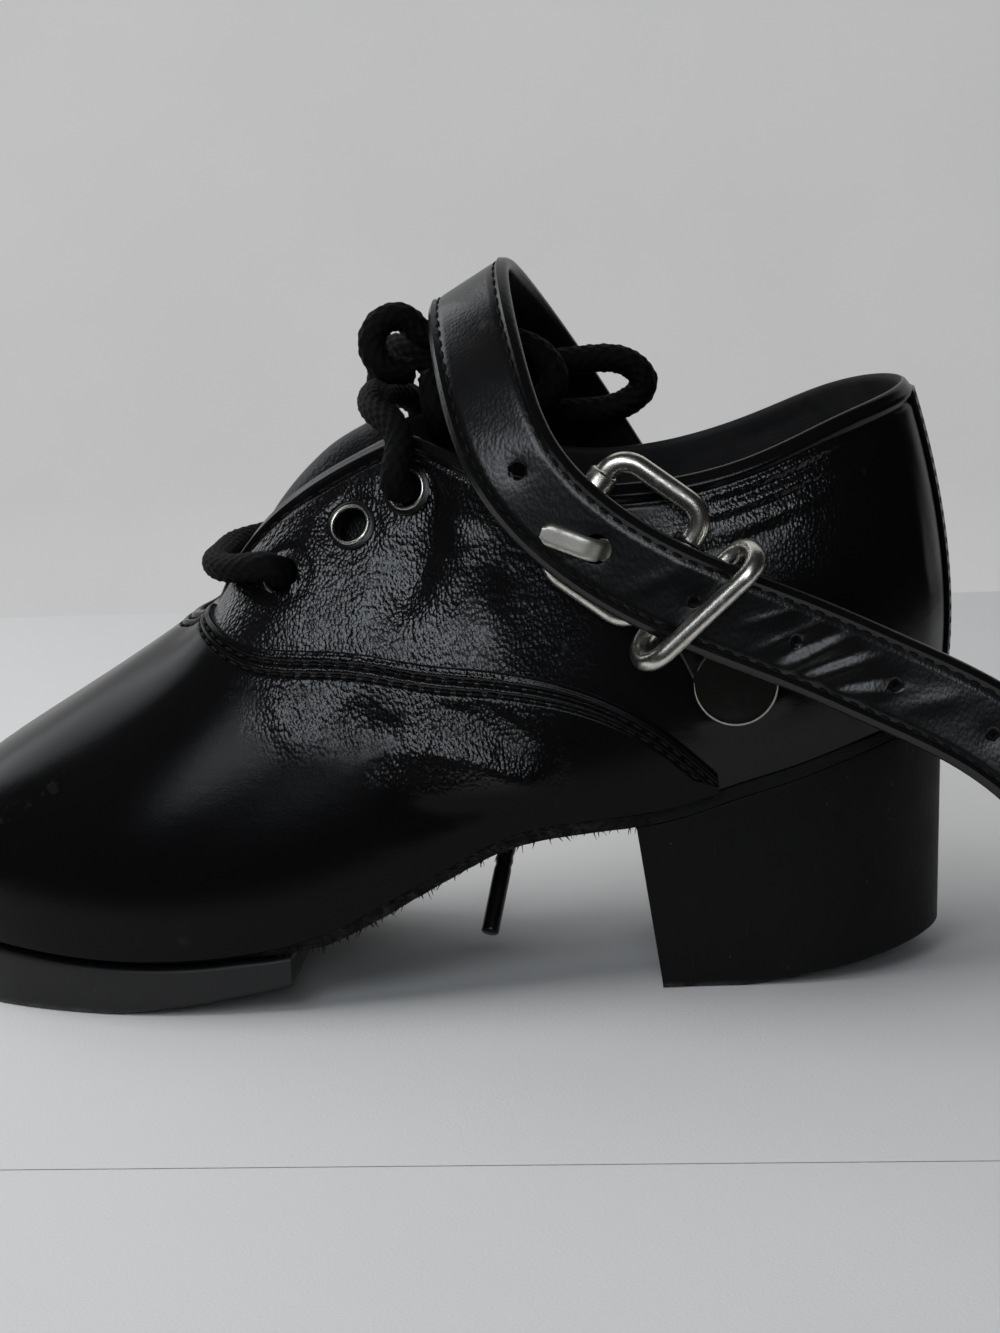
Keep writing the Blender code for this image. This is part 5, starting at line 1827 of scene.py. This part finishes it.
@dataclass
class Strap:
    """The instep strap with padded, stitched edges, punched holes and a creased tail."""

    palette: Palette
    half: float = 7.1 * MM
    thick: float = 2.3 * MM
    hole: float = 1.3 * MM
    prong_hole: float = 2.2 * MM
    bite: float = 0.4 * MM
    pitch: float = 16.0 * MM
    numbers: tuple[int, ...] = (-1, 0, 1, 2, 3, 4)
    blind_depth: float = 2.4 * MM
    through_depth: float = 9 * MM
    head_round: float = 6 * MM
    tail_round: float = 9 * MM
    pad: Ridge = Ridge(0.30, 0.8, 0.7)
    furrow: Ridge = Ridge(-0.30, 2.0, 0.4)
    hole_dent: Ridge = Ridge(-0.22, 0.0, 2.2)
    sink: float = 0.14 * MM
    thread: Thread = field(default_factory=lambda: Thread(2.5 * MM, 1.8 * MM, 0.23 * MM))

    def __post_init__(self) -> None:
        """Lays the centre line."""
        rows = np.array(STRAP_ROWS)
        self.marks = lengths(rows[:, :3]) * MM
        self.curve = cubic(self.marks, rows)
        self.length = float(self.marks[-1])

    def frame(self, along: Array) -> tuple[Array, Array, Array]:
        """Where the strap runs and how it faces.

        Args:
            along: Lengths along it.

        Returns:
            Centres, outward directions and cross directions.
        """
        along = np.atleast_1d(along)
        rows = self.curve(along)
        step = self.length * NUDGE
        ahead = unit(self.curve(along + step)[:, :3] - self.curve(along - step)[:, :3])
        face = rows[:, 3:6] - ahead * (rows[:, 3:6] * ahead).sum(axis=1, keepdims=True)
        face = unit(face)
        return rows[:, :3] * MM, face, np.cross(face, ahead)

    def _width(self, along: Array) -> Array:
        """Share of the full width: both ends are rounded.

        Args:
            along: Lengths along the strap.

        Returns:
            The shares.
        """
        tail = np.clip((along - (self.length - self.tail_round)) / self.tail_round, 0, 0.985)
        head = np.clip((self.head_round - along) / self.head_round, 0, 0.8)
        return np.sqrt(1 - tail**2) * np.sqrt(1 - head**2)

    def _relief(self, along: Array, across: Array) -> Array:
        """Raised edges, stitch furrows, dents at the holes and wrinkles, on the outer face.

        Args:
            along: Lengths along the strap.
            across: Places across it.

        Returns:
            A grid of heights.
        """
        at = along[:, None] - self.marks[PRONG_ROW]
        c = across[None]
        edge = self.half - np.abs(c)
        shape = self.pad.at(edge) + self.furrow.at(edge)
        for number in self.numbers:
            shape = shape + self.hole_dent.at(np.hypot(at - number * self.pitch, c))
        inside = ease(edge, 1.2 * MM, 2.6 * MM)
        for a0, c0, a1, c1, width, depth in np.array(STRAP_FOLDS) * MM:
            way = np.array([a1 - a0, c1 - c0])
            w = np.clip(((at - a0) * way[0] + (c - c0) * way[1]) / (way @ way), 0, 1)
            away = np.hypot(at - a0 - w * way[0], c - c0 - w * way[1])
            shape = shape + depth * hump(away, width) * np.sin(math.pi * (0.1 + 0.8 * w)) * inside
        return shape

    def build(self) -> None:
        """Makes the strap and its stitches."""
        along = np.linspace(0, self.length, 480)
        centre, face, cross = self.frame(along)
        section = band_section(self.half, self.thick, 31, 7)
        relief = self._relief(along, section[:, 0]) * section[:, 2]
        c = section[:, 0][None] * self._width(along)[:, None]
        n = section[:, 1][None] + relief
        points = centre[:, None] + cross[:, None] * c[..., None] + face[:, None] * n[..., None]
        piece = settle("strap_leather", skin(points), [self.palette.strap])
        drill = bmesh.new()
        for number in self.numbers:
            middle, out, side = self.frame(self.marks[PRONG_ROW] + number * self.pitch)
            radius = self.hole if number else self.prong_hole
            blind = number > 0
            bmesh.ops.create_cone(
                drill, cap_ends=True, segments=24, radius1=0.1 * MM if blind else radius, radius2=radius,
                depth=self.blind_depth if blind else self.through_depth,
                matrix=aim(middle[0] + out[0] * self.bite, out[0], side[0]),
            )
        punch(piece, drill)
        dress(piece, "strap_leather", "strap")
        mesh = bmesh.new()
        inner = np.linspace(self.head_round + 1 * MM, self.length - self.tail_round, 900)
        centre, face, cross = self.frame(inner)
        for side in (-1, 1):
            row = side * (self.half - self.furrow.away * MM)
            self.thread.sew(mesh, centre + cross * row + face * (self.thick / 2 - self.sink), face)
        dress(settle("strap_stitches", mesh, [self.palette.thread]), "strap_leather")


def rounded_rectangle(width: float, height: float, corner: float, steps: int = 12) -> Array:
    """Points round a rectangle with round corners, evenly spread.

    Args:
        width: Size along the first axis.
        height: Size along the second.
        corner: Radius of its corners.
        steps: Points in a corner.

    Returns:
        Points in its own plane.
    """
    points = []
    for quarter in range(4):
        x = (width / 2 - corner) * (1 if quarter in (0, 3) else -1)
        y = (height / 2 - corner) * (1 if quarter in (0, 1) else -1)
        for angle in np.linspace(0, math.pi / 2, steps) + math.pi / 2 * quarter:
            points.append((x + corner * math.cos(angle), y + corner * math.sin(angle)))
    loop = np.array(points + points[:1])
    run = lengths(loop)
    wanted = np.linspace(0, run[-1], 121)[:-1]
    return np.column_stack([np.interp(wanted, run, loop[:, k]) for k in range(2)])


@dataclass
class Buckle:
    """Frame, roller, prong, keeper, tab and the two rivets.

    The prong rises through places along and out from its bar and then rests on the strap, in millimetres.
    """

    palette: Palette
    strap: Strap
    centre: Triple = (-13.4 * MM, -28.1 * MM, 70.9 * MM)
    along: float = 16 * MM
    across: float = 20 * MM
    corner: float = 3.6 * MM
    wire: float = 1.4 * MM
    roller: Pair = (2.2 * MM, 13 * MM)
    prong_turn: float = math.radians(15)
    prong_width: float = 3.4 * MM
    prong_thick: float = 1.4 * MM
    prong_rise: tuple[Pair, ...] = ((10.1, 2.9), (10.8, 4.3), (11.1, 5.7))
    prong_rest: tuple[float, ...] = (12.3, 15.0, 18.0, 19.6)
    on_strap: float = 6.8 * MM
    keeper_centre: Triple = (-3.0 * MM, -32.9 * MM, 61.7 * MM)
    keeper_pitch: float = math.radians(42)
    keeper_size: Pair = (22.6 * MM, 7.4 * MM)
    keeper_lean: float = math.radians(24)
    keeper_wire: float = 1.45 * MM
    tab_y: float = -27.6 * MM
    tab_thick: float = 1.5 * MM
    tab_width: float = 11 * MM
    tab_groove: Ridge = Ridge(-0.14, 1.6, 0.4)
    tab_fold: float = 0.8 * MM
    tab_slot: Triple = (10.4 * MM, 5.2 * MM, 10.4 * MM)
    rivet: Pair = (2.3 * MM, 49 * MM)
    caps: Pair = (6.3 * MM, 5.0 * MM)
    cap_thick: float = 1.1 * MM
    cap_rim: float = 0.55 * MM

    def build(self) -> None:
        """Makes the fastening."""
        along, across, out = Vector((0.8, 0, -0.6)), Vector((0.6, 0, 0.8)), Vector((0, -1, 0))
        self.seat = posed(self.centre, (along, across, out))
        self._frame()
        self._prong()
        self._keeper()
        self._tab()
        face = self.tab_y - self.tab_thick / 2 - GAP
        self._rivet("rivet_lat", aim((self.rivet[0], face, self.rivet[1]), (0, -1, 0)), self.caps[0])
        middle, out, _ = self.strap.frame(self.strap.marks[1])
        place = middle[0] + out[0] * (self.strap.thick / 2 + GAP)
        self._rivet("rivet_med", aim(place, out[0]), self.caps[1])

    def _metal(
        self, name: str, node: str, mesh: Mesh, matrix: Matrix, finish: Material | None = None
    ) -> None:
        """Puts a metal piece in place.

        Args:
            name: Its name.
            node: The solid that it stands for.
            mesh: Its mesh.
            matrix: Where it goes.
            finish: Its finish, plain metal if none is given.
        """
        bmesh.ops.transform(mesh, matrix=matrix, verts=mesh.verts)
        dress(settle(name, mesh, [finish or self.palette.metal], 50), "nickelled_steel", node)

    def _frame(self) -> None:
        """The wire frame, flattened a little, and its roller."""
        plan = rounded_rectangle(self.along, self.across, self.corner)
        line = np.column_stack([plan, np.zeros(len(plan))])
        rings = tube(line, self.wire, 24, closed=True)
        rings[..., :2] = line[:, None, :2] + (rings[..., :2] - line[:, None, :2]) * 1.16
        self._metal("buckle_wire_frame", "buckle_frame", skin(rings, True, True), self.seat)
        radius, length = self.roller
        bore = self.wire + GAP
        curl = 0.35 * MM
        profile = [
            (bore, length / 2), (radius - curl, length / 2), (radius, length / 2 - curl),
            (radius, -length / 2 + curl), (radius - curl, -length / 2), (bore, -length / 2),
        ]
        place = Matrix.Translation((-self.along / 2, 0, 0)) @ Matrix.Rotation(math.pi / 2, 4, "X")
        self._metal("buckle_roller_tube", "buckle_roller", turned(profile, place, 32), self.seat)

    def _prong(self) -> None:
        """A stamped strip from the hinge bar up through the strap."""
        reach = self.wire + 1.5 * GAP + self.prong_thick / 2
        wrap = np.radians(np.linspace(260, 80, 19))
        path = [(reach * math.cos(a), reach * math.sin(a)) for a in wrap]
        path += [(4 * MM, reach), (8 * MM, reach)]
        path += [(a * MM, n * MM) for a, n in self.prong_rise]
        path += [(a * MM, self.on_strap) for a in self.prong_rest]
        width = np.full(len(path), 1.0)
        width[: len(wrap)] = 0.6
        fine = smooth_route(np.column_stack([path, np.zeros(len(path))]), 0.3 * MM)[:, :2]
        run = lengths(np.array(path))
        part = np.linspace(0, 1, len(fine))
        tip = np.clip((part - 0.95) / 0.05, 0, 0.85)
        shares = np.interp(part, run / run[-1], width) * np.sqrt(1 - tip**2)
        ahead = unit(np.gradient(fine, axis=0))
        section = band_section(self.prong_width / 2, self.prong_thick, 7, 5)
        rise = np.column_stack([-ahead[:, 1], ahead[:, 0]])
        plan = fine[:, None] + rise[:, None] * section[:, 1][None, :, None]
        side = section[:, 0][None] * shares[:, None]
        points = np.stack([plan[..., 0], side, plan[..., 1]], axis=2)
        turn = Matrix.Translation((self.along / 2, 0, 0)) @ Matrix.Rotation(math.pi + self.prong_turn, 4, "Z")
        place = self.seat @ turn
        self._metal("buckle_prong_strip", "buckle_prong", skin(points), place, self.palette.worn_metal)

    def _keeper(self) -> None:
        """The wire loop round the strap."""
        plan = rounded_rectangle(*self.keeper_size, self.keeper_wire * 2.4)
        line = np.column_stack([plan[:, 0], np.zeros(len(plan)), plan[:, 1]])
        along = Vector((math.cos(self.keeper_pitch), 0, math.sin(self.keeper_pitch)))
        out = Vector((0, -1, 0))
        upright = posed(self.keeper_centre, (along, out.cross(along), out))
        rings = tube(line, self.keeper_wire, 20, closed=True)
        lean = Matrix.Rotation(self.keeper_lean, 4, "X")
        self._metal("keeper_loop", "keeper", skin(rings, True, True), upright @ lean)

    def _tab(self) -> None:
        """The leather tab: a strip with a round end, a fold round the bar and a slot for the prong."""
        half = self.tab_width / 2
        start = self.seat @ Vector((self.along / 2 + self.wire + 2 * GAP, 0, 0))
        across = self.seat.to_3x3() @ Vector((0, 1, 0))
        end = np.array([self.rivet[0], self.rivet[1]])
        begin = np.array([start.x, start.z])
        ahead = unit(end - begin)
        length = float(np.linalg.norm(end - begin))
        section = band_section(half, self.tab_thick, 17, 5)
        groove = self.tab_groove.at(half - np.abs(section[:, 0])) * section[:, 2]
        rows = []
        lean = np.array([across.x, across.z])
        square = np.array([-ahead[1], ahead[0]])
        round_end = length + half * np.sin(np.linspace(0.1, 1.5, 10))
        for at in np.concatenate([np.linspace(0, length, 30), round_end]):
            share = math.sqrt(max(0.01, 1 - max(0.0, (at - length) / half) ** 2))
            turn = ease(np.array([at]), 0, length * 0.6)[0]
            side = unit(lean * (1 - turn) + square * turn)
            plan = begin + ahead * at + side * section[:, :1] * share
            rows.append(np.column_stack([plan[:, 0], self.tab_y - section[:, 1] - groove, plan[:, 1]]))
        piece = settle("buckle_tab_leather", skin(np.array(rows)), [self.palette.strap])
        bore = self.wire + GAP
        wide = bore + self.tab_fold
        profile = [(bore, half), (wide, half), (wide, -half), (bore, -half)]
        bar = self.seat @ Matrix.Translation((self.along / 2, 0, 0))
        fold = turned(profile, bar @ Matrix.Rotation(math.pi / 2, 4, "X"), 32)
        fold_piece = settle("buckle_tab_fold", fold, [self.palette.strap])
        slot = bmesh.new()
        bmesh.ops.create_cube(slot, size=1, matrix=bar @ Matrix.Diagonal((*self.tab_slot, 1)))
        second = slot.copy()
        punch(piece, slot)
        punch(fold_piece, second)
        dress(piece, "strap_leather", "buckle_tab")
        dress(fold_piece, "strap_leather")

    def _rivet(self, name: str, matrix: Matrix, radius: float) -> None:
        """A flat cap with a rolled rim.

        Args:
            name: The solid that it stands for.
            matrix: Where it goes.
            radius: Its radius.
        """
        thick, rim = self.cap_thick, self.cap_rim
        turn = np.linspace(math.pi / 2, -math.pi / 2, 9)
        rolled = [(radius - rim + rim * math.cos(a), thick / 2 + thick / 2 * math.sin(a)) for a in turn]
        profile = [(0, thick * 0.86), (radius - 1.2 * MM, thick * 0.88), *rolled, (0, 0)]
        mesh = turned(profile, Matrix.Identity(4), 64)
        self._metal(f"{name}_cap", name, mesh, matrix, self.palette.cap)


class Lamp(NamedTuple):
    """A rectangular light: place, what it looks at, size, power and whether the shoe mirrors it."""

    name: str
    place: Triple
    target: Triple
    size: Pair
    power: float
    mirrored: bool


@dataclass
class Studio:
    """Floor, backdrop, lights and camera."""

    target: Triple = (-35.0 * MM, 0.0, 46.9 * MM)
    distance: float = 450 * MM
    elevation: float = math.radians(11.0)
    yaw: float = math.radians(-5.0)
    roll: float = math.radians(-2.35)
    sensor: float = 36.0
    focal_in_widths: float = 2.835
    table_corner: Pair = (-0.3, -0.095)
    table_end: Pair = (0.25, 0.36)
    wall_end: float = 0.45
    wall: float = 0.36
    bend: float = 0.03
    reach: float = 2.4
    glow: float = 1.7
    room: tuple[float, float, float, float] = (0.80, 0.82, 0.85, 1)
    room_strength: float = 0.01
    plain_light: Triple = (1.0, 1.0, 1.0)
    window_light: Triple = (0.88, 0.94, 1.0)
    lamps: tuple[Lamp, ...] = (
        Lamp("key", (-0.45, -0.08, 0.62), (-0.04, 0, 0), (0.6, 0.6), 3.9, False),
        Lamp("window", (-0.334, -0.953, 0.75), (-0.05, 0, 0.05), (0.55, 0.47), 3.2, True),
        Lamp("pane", (0.10, -1.14, 0.44), (-0.05, 0, 0.05), (0.34, 0.30), 1.6, True),
        Lamp("rim", (-0.41, 0.28, 0.32), (-0.08, 0, 0.05), (0.30, 0.34), 0.38, True),
    )

    def build(self) -> None:
        """Makes the set."""
        self._camera()
        self._floor()
        self._lights()

    def _camera(self) -> None:
        """The photograph's view of the shoe."""
        ahead = Vector(
            (
                math.sin(self.yaw) * math.cos(self.elevation),
                math.cos(self.yaw) * math.cos(self.elevation),
                -math.sin(self.elevation),
            )
        )
        right = ahead.cross(Vector((0, 0, 1))).normalized()
        up = right.cross(ahead)
        turned_right = math.cos(self.roll) * right + math.sin(self.roll) * up
        turned_up = -math.sin(self.roll) * right + math.cos(self.roll) * up
        data = bpy.data.cameras.new("photo_view")
        data.sensor_fit = "HORIZONTAL"
        data.sensor_width = self.sensor
        data.lens = self.focal_in_widths * self.sensor
        data.clip_start = 0.01
        camera = bpy.data.objects.new("photo_view", data)
        place = Vector(self.target) - ahead * self.distance
        camera.matrix_world = posed(place, (turned_right, turned_up, -ahead))
        bpy.context.scene.collection.objects.link(camera)
        bpy.context.scene.camera = camera

    def _floor(self) -> None:
        """A pale table whose front end stays out of reflections, and a wall seen from its front alone."""
        cloth = Backdrop("pale_floor").material()
        far = self.reach
        for name, corner, end, z in (
            ("table", self.table_corner, self.table_end, -0.05 * MM),
            ("table_round", (-far, -far), (far, far), -0.15 * MM),
        ):
            rows = np.array([[(x, y, z) for x in (corner[0], end[0])] for y in (corner[1], end[1])])
            piece = settle(name, sheet(rows, (0, 0, 1)), [cloth])
            piece.visible_glossy = name == "table"
        foot, bend = self.wall - self.bend, self.bend
        turn = np.linspace(0, math.pi / 2, 12)
        profile = [(foot + bend * math.sin(a), bend - bend * math.cos(a)) for a in turn]
        profile += [(self.wall, far / 2)]
        rows = np.array([[(x, y, z) for x in (-far / 2, self.wall_end)] for y, z in profile])
        wall = Backdrop("pale_wall", (0.20, 0.20, 0.198), (0.22, 0.22, 0.218), self.glow, True).material()
        settle("wall", sheet(rows, (0, -1, 0)), [wall], 80)

    def _lights(self) -> None:
        """A soft light from above, which the shoe does not mirror, and three windows, which it does."""
        scene = bpy.context.scene
        scene.view_settings.view_transform = "Standard"
        scene.world = scene.world or bpy.data.worlds.new("room")
        scene.world.use_nodes = True
        back = scene.world.node_tree.nodes["Background"]
        back.inputs["Color"].default_value = self.room
        back.inputs["Strength"].default_value = self.room_strength
        for lamp in self.lamps:
            data = bpy.data.lights.new(lamp.name, "AREA")
            data.shape = "RECTANGLE"
            data.size, data.size_y = lamp.size
            data.energy = lamp.power
            data.color = self.window_light if lamp.mirrored else self.plain_light
            light = bpy.data.objects.new(lamp.name, data)
            light.visible_glossy = lamp.mirrored
            light.matrix_world = aim(lamp.place, Vector(lamp.place) - Vector(lamp.target), (1, 0, 0))
            scene.collection.objects.link(light)


def main() -> None:
    """Loads the solids and dresses them."""
    logging.basicConfig(level=logging.INFO, format="%(name)s: %(message)s")
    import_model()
    Studio().build()
    last = Last()
    palette = Palette()
    Lacing(last, palette).build()
    Upper(last, palette).build()
    Bottom(last, palette).build()
    Tongue(palette).build()
    strap = Strap(palette)
    strap.build()
    Buckle(palette, strap).build()


if __name__ == "__main__":
    main()
